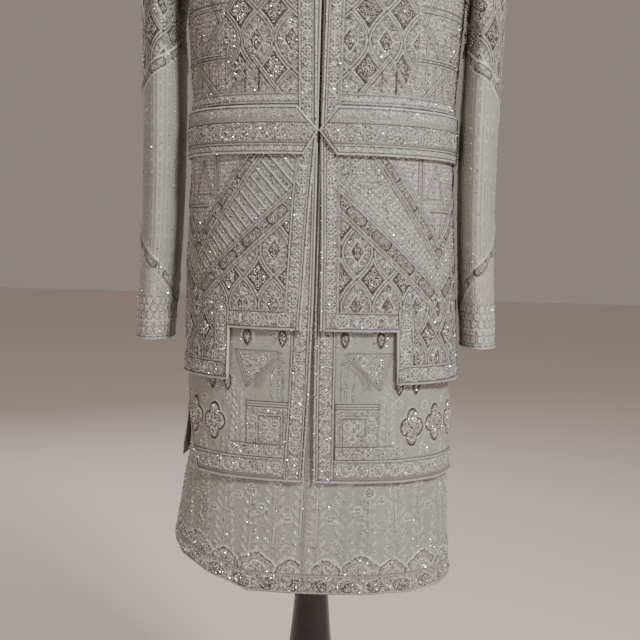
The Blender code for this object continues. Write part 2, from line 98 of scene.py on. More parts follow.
def new_group(name, sockets):
    """An empty node group with (name, INPUT or OUTPUT, type) sockets, and its input and output nodes."""
    group = bpy.data.node_groups.new(name, "ShaderNodeTree")
    for label, way, kind in sockets:
        group.interface.new_socket(name=label, in_out=way, socket_type=f"NodeSocket{kind}")
    return group, group.nodes.new("NodeGroupInput"), group.nodes.new("NodeGroupOutput")


def set_bump(tree, shader, height, strength, distance):
    """Feed the shader's normal from a height through a Bump node."""
    bump = add_node(tree, "ShaderNodeBump", {"Strength": strength, "Distance": distance, "Height": height})
    tree.links.new(bump.outputs[0], shader.inputs["Normal"])


def lacquered_wood():
    """Long grain up the piece, fine pores across it, and a mottle in the lacquer's gloss."""
    material, tree, shader = new_material("lacquered_dark_wood", 0.30, coat=0.35)
    shader.inputs["Coat Roughness"].default_value = 0.12
    place = add_node(tree, "ShaderNodeTexCoord").outputs["Object"]
    along = add_node(tree, "ShaderNodeMapping", {"Vector": place, "Scale": (60.0, 60.0, 5.0)}).outputs[0]
    grain = add_node(tree, "ShaderNodeTexNoise", {"Vector": along, "Scale": 2.2, "Detail": 6.0})
    pores = add_node(tree, "ShaderNodeTexNoise", {"Vector": along, "Scale": 11.0, "Detail": 3.0})
    mottle = add_node(tree, "ShaderNodeTexNoise", {"Vector": place, "Scale": 25.0, "Detail": 4.0})
    tone = ranged(tree, grain.outputs["Fac"], 0.35, 0.70, 0.0, 1.0)
    tree.links.new(mix_colour(tree, tone, WOOD_DARK, WOOD_BROWN), shader.inputs["Base Color"])
    tree.links.new(ranged(tree, mottle.outputs["Fac"], 0.3, 0.7, 0.20, 0.36), shader.inputs["Roughness"])
    set_bump(tree, shader, pores.outputs["Fac"], 0.15, 0.0004)
    return material


def cover_solid(name, material):
    """Give a CAD solid one material in place of what it came with."""
    bpy.data.objects[name].data.materials.clear()
    bpy.data.objects[name].data.materials.append(material)


wood = lacquered_wood()
for name in STAND_NODES:
    cover_solid(name, wood)

# ---------------------------------------------------------------------------------------------------------
# Dress form: a limbless torso of moulded shell, covered in pale stretch cotton that is glued down.
# It has flat arm ends and a short neck, and its waist is cut off level under the hips.

COVER_PALE = (0.52, 0.47, 0.41, 1.0)
COVER_SHADE = (0.43, 0.38, 0.33, 1.0)


def stretch_cotton():
    """A fine knit: two crossed sets of ribs about 0.8 mm apart, with a soft mottle in its colour."""
    material, tree, shader = new_material("form_cotton", 0.88, sheen=0.15)
    place = add_node(tree, "ShaderNodeTexCoord").outputs["Object"]
    mottle = add_node(tree, "ShaderNodeTexNoise", {"Vector": place, "Scale": 30.0, "Detail": 5.0})
    ribs = add_node(tree, "ShaderNodeTexWave", {"Vector": place, "Scale": 380.0}, bands_direction="Z")
    wales = add_node(tree, "ShaderNodeTexWave", {"Vector": place, "Scale": 380.0}, bands_direction="X")
    knit = maths(tree, "MULTIPLY", ribs.outputs["Fac"], wales.outputs["Fac"])
    colour = mix_colour(tree, mottle.outputs["Fac"], COVER_PALE, COVER_SHADE)
    tree.links.new(colour, shader.inputs["Base Color"])
    set_bump(tree, shader, knit, 0.3, 0.0003)
    return material


cover_solid("form_torso", stretch_cotton())

# ---------------------------------------------------------------------------------------------------------
# Body line: every cloth layer hangs on the same measures of the form, each with its own ease.
# Below the underarm a layer is a stack of level superellipses, and above it columns that bend to the neck.

UNDERARM = 1.30
RING_POWER = 2.35
EASES = {"outer": 0.0115, "middle": 0.0075, "lower": 0.0042, "belt": 0.0155}
FORM_SECTIONS = (
    # height, half_width, front_depth, back_depth
    (0.500, 0.1640, 0.114, 0.118),
    (0.780, 0.1640, 0.114, 0.118),
    (0.880, 0.1640, 0.114, 0.117),
    (0.940, 0.1630, 0.112, 0.114),
    (0.995, 0.1610, 0.111, 0.109),
    (1.050, 0.1600, 0.111, 0.106),
    (1.135, 0.1600, 0.113, 0.107),
    (1.200, 0.1640, 0.115, 0.111),
    (1.264, 0.1685, 0.116, 0.116),
    (1.300, 0.1700, 0.115, 0.118),
)
HEMS = {"outer": 0.776, "middle": 0.653, "lower": 0.512}
FLARE_POWERS = {"outer": 1.5, "middle": 1.0, "lower": 0.9}
HEM_LIFT = 0.046
LIFT_FROM = 0.22
LIFT_POWER = 0.85
SIDE_FLARES = {
    # (layer, face, side): (start_height, out)
    ("outer", "front", -1): (1.020, 0.0012),
    ("outer", "front", 1): (1.020, 0.0110),
    ("outer", "back", -1): (1.020, 0.0012),
    ("outer", "back", 1): (1.020, 0.0110),
    ("middle", "front", -1): (0.745, 0.0025),
    ("middle", "front", 1): (0.860, 0.0100),
    ("middle", "back", -1): (0.745, 0.0105),
    ("middle", "back", 1): (0.860, 0.0100),
    ("lower", "front", -1): (0.672, 0.0235),
    ("lower", "front", 1): (0.800, 0.0170),
    ("lower", "back", -1): (0.672, 0.0235),
    ("lower", "back", 1): (0.800, 0.0170),
}
DEPTH_FLARES = {
    # (layer, face): (start_height, out)
    ("outer", "front"): (1.020, 0.0030),
    ("outer", "back"): (1.020, 0.0060),
    ("middle", "front"): (0.860, 0.0025),
    ("middle", "back"): (0.860, 0.0060),
    ("lower", "front"): (0.690, 0.0070),
    ("lower", "back"): (0.690, 0.0140),
}
FRONT_EDGES = {
    # (layer, side): rows of (height, x) of the front edge
    ("outer", -1): ((0.841, -0.0158), (0.997, -0.0083), (1.075, -0.0022), (1.104, -0.0028), (1.300, -0.0070)),
    ("outer", 1): ((0.841, 0.0079), (0.939, 0.0069), (1.075, 0.0030), (1.104, 0.0036), (1.300, 0.0068)),
    ("middle", -1): ((0.653, -0.0087), (0.756, -0.0042), (0.880, -0.0012), (1.300, -0.0006)),
    ("middle", 1): ((0.653, 0.0039), (0.756, 0.0024), (0.880, 0.0012), (1.300, 0.0030)),
    ("lower", -1): ((0.512, -0.0105), (0.646, -0.0076), (1.072, -0.0042)),
    ("lower", 1): ((0.512, -0.0101), (0.646, -0.0072), (1.072, -0.0038)),
}
NECK_HALF_WIDTH = 0.064
NECK_HALF_DEPTH = 0.066
NECK_CENTRE_Y = 0.006
NECK_FRONT_HEIGHT = 1.418
NECK_BACK_HEIGHT = 1.474
NECK_SIDE_TURN = math.radians(94)
NECK_SHARE = 0.40
SHOULDER_TIP = (0.1780, 0.004, 1.428)
ARMHOLE_HALF_DEPTH = 0.050
ARMHOLE_INSET = 0.012
CHEST_BEND = (0.35, 0.86, 0.66)
MIDDLE_TUCK = 0.0022
YOKE_DRAWN = 0.165
HALF_SEAM = 0.0002


def smooth_column(rows, column, at):
    """One column of a table at values of its first: cubics through the rows, held level beyond them."""
    table = np.array(rows, float)
    xs, ys = table[:, 0], table[:, column]
    slopes = np.gradient(ys, xs)
    at = np.clip(at, xs[0], xs[-1])
    i = np.clip(np.searchsorted(xs, at, side="right") - 1, 0, len(xs) - 2)
    span = xs[i + 1] - xs[i]
    t = (at - xs[i]) / span
    low = ys[i] * (2 * t**3 - 3 * t**2 + 1) + slopes[i] * span * (t**3 - 2 * t**2 + t)
    return low + ys[i + 1] * (3 * t**2 - 2 * t**3) + slopes[i + 1] * span * (t**3 - t**2)


def hem_flare(layer, flares, key, height):
    """Outward growth: the hem's figure times (drop below the start over the whole drop) to a power."""
    if key not in flares:
        return 0.0
    start, out = flares[key]
    share = np.clip((start - height) / (start - HEMS[layer]), 0, None)
    return out * share ** FLARE_POWERS[layer]


def ring_points(layer, face, side, share, height, depth_in=0.0):
    """Points on a level superellipse: x = half width * sin(angle)^(2/n), y = depth * cos(angle)^(2/n)."""
    share, height = np.broadcast_arrays(share, height)
    ease = EASES[layer] - depth_in
    half_width = smooth_column(FORM_SECTIONS, 1, height) + ease
    depth = smooth_column(FORM_SECTIONS, 2 if face == "front" else 3, height) + ease
    half_width = half_width + hem_flare(layer, SIDE_FLARES, (layer, face, side), height)
    depth = depth + hem_flare(layer, DEPTH_FLARES, (layer, face), height)
    sine, cosine = np.sin(share * np.pi / 2), np.clip(np.cos(share * np.pi / 2), 0, None)
    x = side * half_width * np.sign(sine) * np.abs(sine) ** (2 / RING_POWER)
    y = (-1 if face == "front" else 1) * depth * cosine ** (2 / RING_POWER)
    return np.stack([x, y, height], -1)


def top_points(ease, face, side, share):
    """The neckline ellipse up to the neck's share of the quarter, then a straight shoulder seam to the tip."""
    along = np.clip(share / NECK_SHARE, 0, 1)
    turn = along * NECK_SIDE_TURN if face == "front" else np.pi - along * (np.pi - NECK_SIDE_TURN)
    x = side * (NECK_HALF_WIDTH + ease * 0.3) * np.sin(turn)
    y = NECK_CENTRE_Y - (NECK_HALF_DEPTH + ease * 0.3) * np.cos(turn)
    z = NECK_FRONT_HEIGHT + (NECK_BACK_HEIGHT - NECK_FRONT_HEIGHT) * (1 - np.cos(turn)) / 2 + ease
    start = np.stack([x, y, z], -1)
    tip = np.array([side * (SHOULDER_TIP[0] + ease), SHOULDER_TIP[1], SHOULDER_TIP[2] + ease])
    out = np.clip((share - NECK_SHARE) / (1 - NECK_SHARE), 0, None)[..., None]
    return start + (tip - start) * out


def armhole_points(layer, face, side, rise, depth_in=0.0):
    """From underarm to shoulder tip: a half-sine bow in y and a smaller one inward in x."""
    low = ring_points(layer, face, side, 1.0, UNDERARM, depth_in)
    tip = top_points(EASES[layer] - depth_in, face, side, np.array(1.0))
    bow = np.sin(np.pi * rise)
    x = low[0] + (tip[0] - low[0]) * rise - side * ARMHOLE_INSET * bow
    half_depth = ARMHOLE_HALF_DEPTH + EASES[layer] - depth_in
    y = tip[1] * rise + half_depth * bow * (-1 if face == "front" else 1)
    z = low[2] + (tip[2] - low[2]) * (1 - np.cos(np.pi * rise)) / 2
    return np.stack([x, y, z], -1)


def yoke_points(layer, face, side, share, rise, depth_in=0.0):
    """A parabola from the underarm ring over the chest to the neck or shoulder, pulled to the armhole."""

    def column(at):
        base = ring_points(layer, face, side, at, UNDERARM, depth_in)
        top = top_points(EASES[layer] - depth_in, face, side, at)
        bend = np.stack(
            [base[..., 0] + (top[..., 0] - base[..., 0]) * CHEST_BEND[0],
             base[..., 1] * CHEST_BEND[1],
             base[..., 2] + (top[..., 2] - base[..., 2]) * CHEST_BEND[2]], -1
        )
        t = rise[..., None]
        return base * (1 - t) ** 2 + bend * 2 * t * (1 - t) + top * t**2

    share, rise = np.broadcast_arrays(share, rise)
    weight = np.clip((share - NECK_SHARE) / (1 - NECK_SHARE), 0, None)[..., None] ** 2
    pull = armhole_points(layer, face, side, rise, depth_in) - column(np.ones_like(share))
    return column(share) + pull * weight


def lifted_heights(layer, side, shares, level):
    """The lowest layer's left hem climbs to its side seam: height + lift * drop * out^0.85."""
    if layer != "lower" or side > 0:
        return np.broadcast_to(level[None, :], shares.shape)
    drop = np.clip((HEMS["middle"] - level) / (HEMS["middle"] - HEMS["lower"]), 0, 1)
    out = np.clip((shares - LIFT_FROM) / (1 - LIFT_FROM), 0, 1)
    return level + HEM_LIFT * drop * out**LIFT_POWER


def edge_share(layer, side, x, height):
    """The share whose point on the front ring has this x."""
    half_width = smooth_column(FORM_SECTIONS, 1, height) + EASES[layer]
    half_width = half_width + hem_flare(layer, SIDE_FLARES, (layer, "front", side), height)
    ratio = side * x / half_width
    return np.arcsin(np.sign(ratio) * np.abs(ratio) ** (RING_POWER / 2)) / (np.pi / 2)


def front_starts(layer, side, rows):
    """The share where a front's cloth begins on each row, from the x of its edge at that height."""
    level = np.minimum(rows, UNDERARM)
    heights, xs = np.array(FRONT_EDGES[(layer, side)]).T
    return edge_share(layer, side, np.interp(level, heights, xs), level)


def arc_lengths(points):
    """Running length down each column of a grid of points, from 0 at its first."""
    steps = np.linalg.norm(np.diff(points, axis=0), axis=-1)
    return np.concatenate([np.zeros((1,) + steps.shape[1:]), np.cumsum(steps, 0)])


def panel_grid(layer, face, side, rows, columns, wall, starts, ends, step=None):
    """A panel's outer and inner points and its flat (a, v), columns evenly spaced by arc length on each row.

    Rows are heights up to the underarm, then the underarm plus a rise from 0 to 1. Starts and ends are the
    shares of the quarter turn where each row's cloth begins and stops. Step is a (column, share) that every
    row passes through, so that a notch can follow it."""
    level = np.minimum(rows, UNDERARM)
    fine = np.linspace(-0.06, 1.0, 500)
    arc = arc_lengths(ring_points(layer, face, side, fine[:, None], level[None, :]))

    def arc_at(share):
        return np.array([np.interp(share[j], fine, arc[:, j]) for j in range(len(rows))])

    zero, low, high = arc_at(np.zeros(len(rows))), arc_at(starts), arc_at(ends)
    at = low + (high - low) * np.linspace(0, 1, columns)[:, None]
    if step is not None:
        turn = arc_at(np.full(len(rows), step[1]))
        at[: step[0]] = low + (turn - low) * (np.arange(step[0]) / step[0])[:, None]
        at[step[0]:] = turn + (high - turn) * np.linspace(0, 1, columns - step[0])[:, None]
    shares = np.stack([np.interp(at[:, j], arc[:, j], fine) for j in range(len(rows))], 1)
    rise = np.clip(rows - UNDERARM, 0, 1)
    is_yoke = rows > UNDERARM
    grids = []
    lifted = lifted_heights(layer, side, shares, level)
    for depth_in in (0.0, wall):
        points = ring_points(layer, face, side, shares, lifted, depth_in)
        if is_yoke.any():
            tuck = MIDDLE_TUCK if layer == "middle" else 0.0
            up = np.broadcast_to(rise[None, is_yoke], shares[:, is_yoke].shape)
            points[:, is_yoke] = yoke_points(layer, face, side, shares[:, is_yoke], up, depth_in + tuck)
        points[-1, :, 1] += HALF_SEAM * (-1 if face == "front" else 1)
        grids.append(points)
    drawn = at - zero
    if is_yoke.any():
        steps = np.linalg.norm(np.diff(grids[0][:, is_yoke], axis=0), axis=2)
        drawn[1:, is_yoke] = drawn[:1, is_yoke] + np.cumsum(steps, 0)
    flat = np.stack([drawn, np.broadcast_to(level + rise * YOKE_DRAWN, at.shape)], -1)
    return grids[0], grids[1], flat

# ---------------------------------------------------------------------------------------------------------
# Lowest layer: a knee-length skirt of sage silk with vine embroidery, two fronts and a back, stitched at the
# side seams. The right front's piped edge lies over the left, and a beaded band of ovals runs at the hem.

LOWER_WALL = 0.0015
LOWER_HEM = HEMS["lower"]
LOWER_TOP = 1.072
LOWER_ROWS = np.concatenate([
    np.linspace(LOWER_HEM, 0.704, 121)[:-1],
    np.linspace(0.704, LOWER_TOP, 9),
])
LOWER_COLUMNS = 145
LOWER_STEMS = (0.010, 0.044, 0.0745, 0.110, 0.143, 0.178, 0.213)
LOWER_MEDALS = (0.0155, 0.0500, 0.0845, 0.1190, 0.1535, 0.1880, 0.2225)
LOWER_BAND_TOP = 0.535
LOWER_BAND_MIDDLE = 0.5225
VINE_TOP = 0.672
ARCADE_LOW = 0.536
LINING = (0.33, 0.325, 0.29)
SILVER = (0.440, 0.425, 0.405)
PEARL = (0.74, 0.725, 0.70)
CORD = (0.600, 0.585, 0.555)
SAGE = (0.364, 0.374, 0.326)
TAUPE = (0.235, 0.222, 0.205)
BEADED = (0.345, 0.330, 0.305)
BRONZE = (0.055, 0.047, 0.034)
# Painted shade: a near-black laid beside raised cords, round beads and along edges, where their shadow falls.
PAINTED_SHADE = (0.045, 0.042, 0.038)
PIPING = (0.60, 0.585, 0.565)
CLEAR_GLASS = (0.90, 0.89, 0.87)
SMOKED_GLASS = (0.15, 0.135, 0.11)
BEAD_SHARES = (0.30, 0.20, 0.42, 0.08)
BEAD_TURNS = np.arange(4) * np.pi / 2


def build_mesh(name, points, face_arrays, flat=None, values=None):
    """A mesh from arrays: points (n, 3), faces as (m, k) arrays, a flat layout, and named point values."""
    mesh = bpy.data.meshes.new(name)
    loops = np.concatenate([faces.ravel() for faces in face_arrays]).astype(np.int32)
    totals = np.concatenate([np.full(len(faces), faces.shape[1]) for faces in face_arrays])
    mesh.vertices.add(len(points))
    mesh.vertices.foreach_set("co", np.asarray(points, np.float32).ravel())
    mesh.loops.add(len(loops))
    mesh.loops.foreach_set("vertex_index", loops)
    mesh.polygons.add(len(totals))
    mesh.polygons.foreach_set("loop_start", np.concatenate([[0], np.cumsum(totals)[:-1]]).astype(np.int32))
    mesh.update(calc_edges=True)
    mesh.polygons.foreach_set("use_smooth", np.ones(len(totals), bool))
    if flat is not None:
        layout = mesh.uv_layers.new(name="flat_m")
        layout.data.foreach_set("uv", np.asarray(flat, np.float32)[loops].ravel())
    for key, numbers in (values or {}).items():
        numbers = np.asarray(numbers, np.float32)
        if numbers.ndim == 2:
            colours = np.concatenate([numbers, np.ones((len(numbers), 1), np.float32)], 1)
            mesh.attributes.new(key, "FLOAT_COLOR", "POINT").data.foreach_set("color", colours.ravel())
        else:
            mesh.attributes.new(key, "FLOAT", "POINT").data.foreach_set("value", numbers)
    mesh.update()
    return mesh


def add_piece(name, mesh, material):
    """An object for the mesh that rides the one body, with its material."""
    piece = bpy.data.objects.new(name, mesh)
    bpy.context.scene.collection.objects.link(piece)
    mesh.materials.append(material)
    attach(piece, "root")
    return piece


def grid_normals(points, outward):
    """Unit normals of a grid: the cross product of its two differences, turned to face outward."""
    across, up = np.gradient(points, axis=0), np.gradient(points, axis=1)
    normal = np.cross(across, up)
    normal /= np.maximum(np.linalg.norm(normal, axis=2, keepdims=True), 1e-12)
    return normal * np.sign((normal * outward).sum() or 1.0)


def cloth_shell(name, grids, paint, coarse, material, folds=None, kept=None):
    """One closed wall: the fine worked face, a lining on every few columns and rows, and a rim of fans.

    Grids are the outer points, the inner points and the flat layout. Folds move both faces along the normals,
    and the painted height raises the outer one. Kept marks the coarse cells that exist."""
    outer, inner, flat = grids
    if folds is not None:
        shift = grid_normals(outer, outer - inner) * folds[..., None]
        outer, inner = outer + shift, inner + shift
    columns, rows = outer.shape[:2]
    skip_c, skip_r = coarse
    span_c, span_r = (columns - 1) // skip_c, (rows - 1) // skip_r
    if kept is None:
        kept = np.ones((span_c, span_r), bool)
    normal = grid_normals(outer, outer - inner)
    face_points = outer + normal * paint["height"][..., None]
    lining = inner[::skip_c, ::skip_r]
    fine_id = np.arange(columns * rows).reshape(columns, rows)
    lining_id = columns * rows + np.arange(lining.shape[0] * lining.shape[1]).reshape(lining.shape[:2])
    fine_kept = np.repeat(np.repeat(kept, skip_c, 0), skip_r, 1)
    face_quads = np.stack(
        [fine_id[:-1, :-1], fine_id[1:, :-1], fine_id[1:, 1:], fine_id[:-1, 1:]], 2)[fine_kept]
    lining_quads = np.stack(
        [lining_id[:-1, :-1], lining_id[:-1, 1:], lining_id[1:, 1:], lining_id[1:, :-1]], 2)[kept]
    padded = np.pad(kept, 1)
    fans = []
    for shift, corner, along in (((-1, 0), (0, 0), (0, 1)), ((1, 0), (1, 0), (0, 1)),
                                 ((0, -1), (0, 0), (1, 0)), ((0, 1), (0, 1), (1, 0))):
        beside = padded[1 + shift[0]: 1 + shift[0] + span_c, 1 + shift[1]: 1 + shift[1] + span_r]
        i, j = np.nonzero(kept & ~beside)
        i, j = i + corner[0], j + corner[1]
        low, high = lining_id[i, j], lining_id[i + along[0], j + along[1]]
        steps = np.arange(skip_c if along[0] else skip_r)
        fi = i[:, None] * skip_c + along[0] * steps
        fj = j[:, None] * skip_r + along[1] * steps
        first, second = fine_id[fi, fj], fine_id[fi + along[0], fj + along[1]]
        flip = -1 if shift in ((-1, 0), (0, 1)) else 1
        middle = np.broadcast_to(low[:, None], first.shape)
        fans.append(np.stack([first, middle, second], 2).reshape(-1, 3)[:, ::flip])
        fans.append(np.stack([second[:, -1], low, high], 1)[:, ::flip])
    points = np.concatenate([face_points.reshape(-1, 3), lining.reshape(-1, 3)])
    plain = lining.shape[0] * lining.shape[1]
    layout = np.concatenate([flat.reshape(-1, 2), flat[::skip_c, ::skip_r].reshape(-1, 2)])
    values = {
        "thread": np.concatenate([paint["colour"].reshape(-1, 3), np.tile(LINING, (plain, 1))]),
        "beadwork": np.concatenate([paint["beads"].ravel(), np.zeros(plain)]),
    }
    used = np.zeros(len(points), bool)
    faces = [face_quads.reshape(-1, 4), lining_quads.reshape(-1, 4), np.concatenate(fans)]
    for array in faces:
        used[array.ravel()] = True
    new_id = np.cumsum(used) - 1
    mesh = build_mesh(name, points[used], [new_id[array] for array in faces], layout[used],
                      {key: numbers[used] for key, numbers in values.items()})
    bm = bmesh.new()
    bm.from_mesh(mesh)
    bmesh.ops.recalc_face_normals(bm, faces=bm.faces)
    bm.to_mesh(mesh)
    bm.free()
    paint["points"], paint["normal"] = face_points, normal
    return add_piece(name, mesh, material)


def plain_ground(flat, colour, beads=0.0):
    """Start of a panel's drawing: flat colour, bead cover and height over its whole layout."""
    shape = flat.shape[:2]
    return {"colour": np.broadcast_to(colour, shape + (3,)).copy(), "beads": np.full(shape, float(beads)),
            "height": np.zeros(shape), "sparks": np.zeros(shape)}


def within(distance, width, soft=0.0009):
    """1 where the distance is under the width, 0 outside, with a soft edge between."""
    return np.clip((width - distance) / soft + 0.5, 0, 1)


def lay(paint, mask, colour=None, beads=None, raised=0.0, sparks=None):
    """Lay thread over the drawing where the mask is 1: its colour, its bead cover, and its height on top."""
    if colour is not None:
        paint["colour"] += (np.array(colour) - paint["colour"]) * mask[..., None]
    if beads is not None:
        paint["beads"] += (beads - paint["beads"]) * mask
    if sparks is not None:
        paint["sparks"] += (sparks - paint["sparks"]) * mask
    paint["height"] += raised * mask


def to_segment(a, v, start, end):
    """Distance to a straight stretch, and how far along it the nearest point is."""
    run, rise = end[0] - start[0], end[1] - start[1]
    length = math.hypot(run, rise)
    along = ((a - start[0]) * run + (v - start[1]) * rise) / length
    off = np.abs((a - start[0]) * rise - (v - start[1]) * run) / length
    past = np.maximum(np.maximum(-along, along - length), 0)
    return np.hypot(off, past), along


def cord(paint, distance, inside=1.0, width=0.0009, colour=CORD, raised=0.0009):
    """One couched cord: a light ridge with painted shade laid in a groove each side of it."""
    lay(paint, within(distance, width + 0.0013, 0.0012) * inside, PAINTED_SHADE, 0.0, 0.0, 0.0)
    lay(paint, within(distance, width) * inside, colour, 0.3, raised)


def double_cord(paint, distance, inside=1.0, gap=0.0017, colour=CORD, raised=0.0009):
    """Two cords side by side, a gap off the line each, with painted shade laid round them and between them."""
    lay(paint, within(distance, gap + 0.0024, 0.0014) * inside, PAINTED_SHADE, 0.0, 0.0, 0.0)
    lay(paint, within(np.abs(distance - gap), 0.0009) * inside, colour, 0.3, raised)
    lay(paint, within(distance, 0.0006) * inside, PAINTED_SHADE, 0.0)


def beads_along(paint, a, v, start, end, pitch=0.0042, radius=0.0012, colour=PEARL):
    """A row of round beads, each in a ring of painted shade: distance to the nearest multiple of the pitch
    along a stretch.
    """
    off, along = to_segment(a, v, start, end)
    ball = np.hypot(off, (along + pitch / 2) % pitch - pitch / 2)
    lay(paint, within(ball, radius + 0.0006), PAINTED_SHADE, 0.0)
    lay(paint, within(ball, radius), colour, 0.0, 0.0008, 0.6)


def flower(paint, a, v, centre, radius, petals=8, colour=PEARL, inside=1.0):
    """A rosette on a disc of painted shade: an outer ring, petals as a cosine of the angle between two radii,
    and a beaded eye in a ring of painted shade.
    """
    x, y = a - centre[0], v - centre[1]
    r, angle = np.hypot(x, y), np.arctan2(y, x)
    lay(paint, within(r, radius) * inside, PAINTED_SHADE, 0.2, 0.0, 0.0)
    edge = radius * (0.70 + 0.18 * np.cos(petals * angle))
    lay(paint, within(r, edge) * inside, SILVER, 0.3, 0.0006)
    lay(paint, within(r, edge * 0.82) * (0.5 + 0.5 * np.cos(petals * angle)) * inside, colour, 0.1, 0.0)
    lay(paint, within(r, radius * 0.36) * inside, PAINTED_SHADE, 0.0)
    lay(paint, within(r, radius * 0.22) * inside, PEARL, 0.0, 0.0009, 1.0)
    lay(paint, within(np.abs(r - radius), 0.0007) * inside, colour, 0.0, 0.0006)


def medal(paint, a, v, centre, half_length, half_width, turn, filling=TAUPE, rim=BRONZE, inside=1.0):
    """A padded capsule, turned: a dark wrapped rim, a light cord round it, and a striped filling."""
    x, y = a - centre[0], v - centre[1]
    along = x * math.cos(turn) + y * math.sin(turn)
    across = -x * math.sin(turn) + y * math.cos(turn)
    core = np.maximum(np.abs(along) - (half_length - half_width), 0)
    off = np.hypot(core, across) - half_width
    lay(paint, within(off, 0.0026, 0.0014) * inside, CORD, 0.3, 0.0004, 0.0)
    lay(paint, within(np.abs(off - 0.0002), 0.0014) * inside, rim, 0.0, 0.0007)
    bulge = np.clip(-off / half_width, 0, 1)
    lay(paint, within(off, -0.0010) * inside, filling, 0.55)
    stripes = 0.5 + 0.5 * np.sin(2 * np.pi * (along + across) / 0.0042)
    lay(paint, within(off, -0.0010) * stripes * 0.30 * inside, CORD)
    paint["height"] += 0.0013 * np.sqrt(bulge) * inside


def jewel(paint, a, v, centre, half_width, half_height, power=1.0, inside=1.0):
    """A beaded drop: |x/w|^p + |y/h|^p under 1, with a dark outline and a close filling of glass beads."""
    x, y = np.abs(a - centre[0]) / half_width, np.abs(v - centre[1]) / half_height
    size = (x**power + y**power) ** (1 / power)
    off = (size - 1) * min(half_width, half_height) * 0.8
    lay(paint, within(off, 0.0030, 0.0014) * inside, SILVER, 0.2, 0.0005)
    lay(paint, within(np.abs(off - 0.0004), 0.0010) * inside, BRONZE, 0.0, 0.0003)
    lay(paint, within(off, -0.0008) * inside, TAUPE, 1.0, 0.0007, 1.0)


def ogee_net(paint, a, v, star, pitch_a, pitch_v, inside, lens_jewels=True):
    """A net of ogee curves: in a quarter cell the cord runs along x = P/2 * (1 - y / (Q/2))^1.8.

    Concave stars sit at star + whole pitches, with beaded jewels, and lens cells half a pitch off both ways."""
    x = np.abs((a - star[0] + pitch_a / 2) % pitch_a - pitch_a / 2)
    y = np.abs((v - star[1] + pitch_v / 2) % pitch_v - pitch_v / 2)
    t = np.clip(1 - y / (pitch_v / 2), 0, 1)
    curve = pitch_a / 2 * t**1.8
    slope = -pitch_a / pitch_v * 1.8 * t**0.8
    off = (x - curve) / np.sqrt(1 + slope**2)
    lay(paint, within(off, 0.0) * inside, SILVER, 0.35, 0.0, 0.0)
    lay(paint, within(off, -0.0050) * inside, BEADED, 1.0, 0.0006, 1.0)
    lay(paint, within(np.abs(off + 0.0050), 0.0010) * inside, BRONZE, 0.0)
    x, y = pitch_a / 2 - x, pitch_v / 2 - y
    r, angle = np.hypot(x, y * 0.72), np.arctan2(y, x)
    petals = 0.5 + 0.5 * np.cos(14 * angle)
    ring = within(np.abs(r - pitch_a * 0.30), pitch_a * 0.055, 0.0016) * inside
    lay(paint, ring * petals, CORD, 0.4, 0.0005)
    # Painted shade between the petals of the ring.
    lay(paint, ring * (1 - petals) * 0.6, PAINTED_SHADE, 0.0)
    if lens_jewels:
        size = (x / (pitch_a * 0.17) + y / (pitch_v * 0.165) - 1) * pitch_a * 0.12
        lay(paint, within(size, 0.0024, 0.0014) * inside, PEARL, 0.0, 0.0005)
        lay(paint, within(np.abs(size), 0.0012) * inside, BRONZE, 0.0)
        lay(paint, within(size, -0.0006) * inside, BEADED, 1.0, 0.0007, 1.0)
    double_cord(paint, np.abs(off), inside)


def band_of_flowers(paint, a, v, start, end, half_width, pitch, radius, inside=1.0):
    """A straight border: beaded ground, a cord along both edges, and evenly spaced rosettes between them."""
    length = math.dist(start, end)
    off, along = to_segment(a, v, start, end)
    off = np.where((along < -half_width) | (along > length + half_width), 1.0, off)
    lay(paint, within(off, half_width) * inside, SILVER, 0.55, 0.0002, 0.18)
    step = length / max(1, round(length / pitch))
    x = along % step - step / 2
    signed = ((a - start[0]) * (end[1] - start[1]) - (v - start[1]) * (end[0] - start[0])) / length
    on_line = within(np.maximum(-along, along - length), 0.0) * within(off, half_width) * inside
    flower(paint, x, signed, (0.0, 0.0), radius, inside=on_line)
    leaf = np.abs(np.abs(x) - step / 2) / 0.0024 + np.abs(signed) / (half_width * 0.62)
    lay(paint, within(leaf, 1.0, 0.3) * on_line, PEARL, 0.3, 0.0005, 0.5)
    cord(paint, np.abs(off - half_width + 0.0006), within(off, half_width + 0.004) * inside, 0.0007)


def vine(paint, a, v, at, low, high, inside=1.0, pitch=0.0125, reach=0.0105):
    """A stem with paired leaves: strokes that climb away from it at even steps, shorter towards the tip."""
    x, y = np.abs(a - at), v - low
    share = np.clip(y / (high - low), 0, 1)
    body = (y > 0) & (v < high)
    phase = ((y - 1.1 * x) % pitch) / pitch
    stroke = within(np.abs(phase - 0.5) * pitch, 0.0013, 0.0012) * (x < reach * (1.05 - 0.5 * share)) * body
    lay(paint, stroke * inside * 0.6, CORD, 0.5, 0.0004, 0.25)
    tip = np.hypot(x - reach * (1.0 - 0.5 * share), (phase - 0.5) * pitch)
    lay(paint, within(tip, 0.0034) * body * inside * 0.7, TAUPE, 0.4)
    lay(paint, within(np.abs(tip - 0.0022), 0.0009) * body * inside, CORD, 0.2, 0.0005)
    lay(paint, within(tip, 0.0010) * body * inside, PEARL, 0.0, 0.0008, 1.0)
    lay(paint, within(x, 0.0007) * body * inside, CORD, 0.2, 0.0006)
    lay(paint, within(np.abs(x - 0.0014), 0.0005) * body * inside * 0.8, TAUPE)


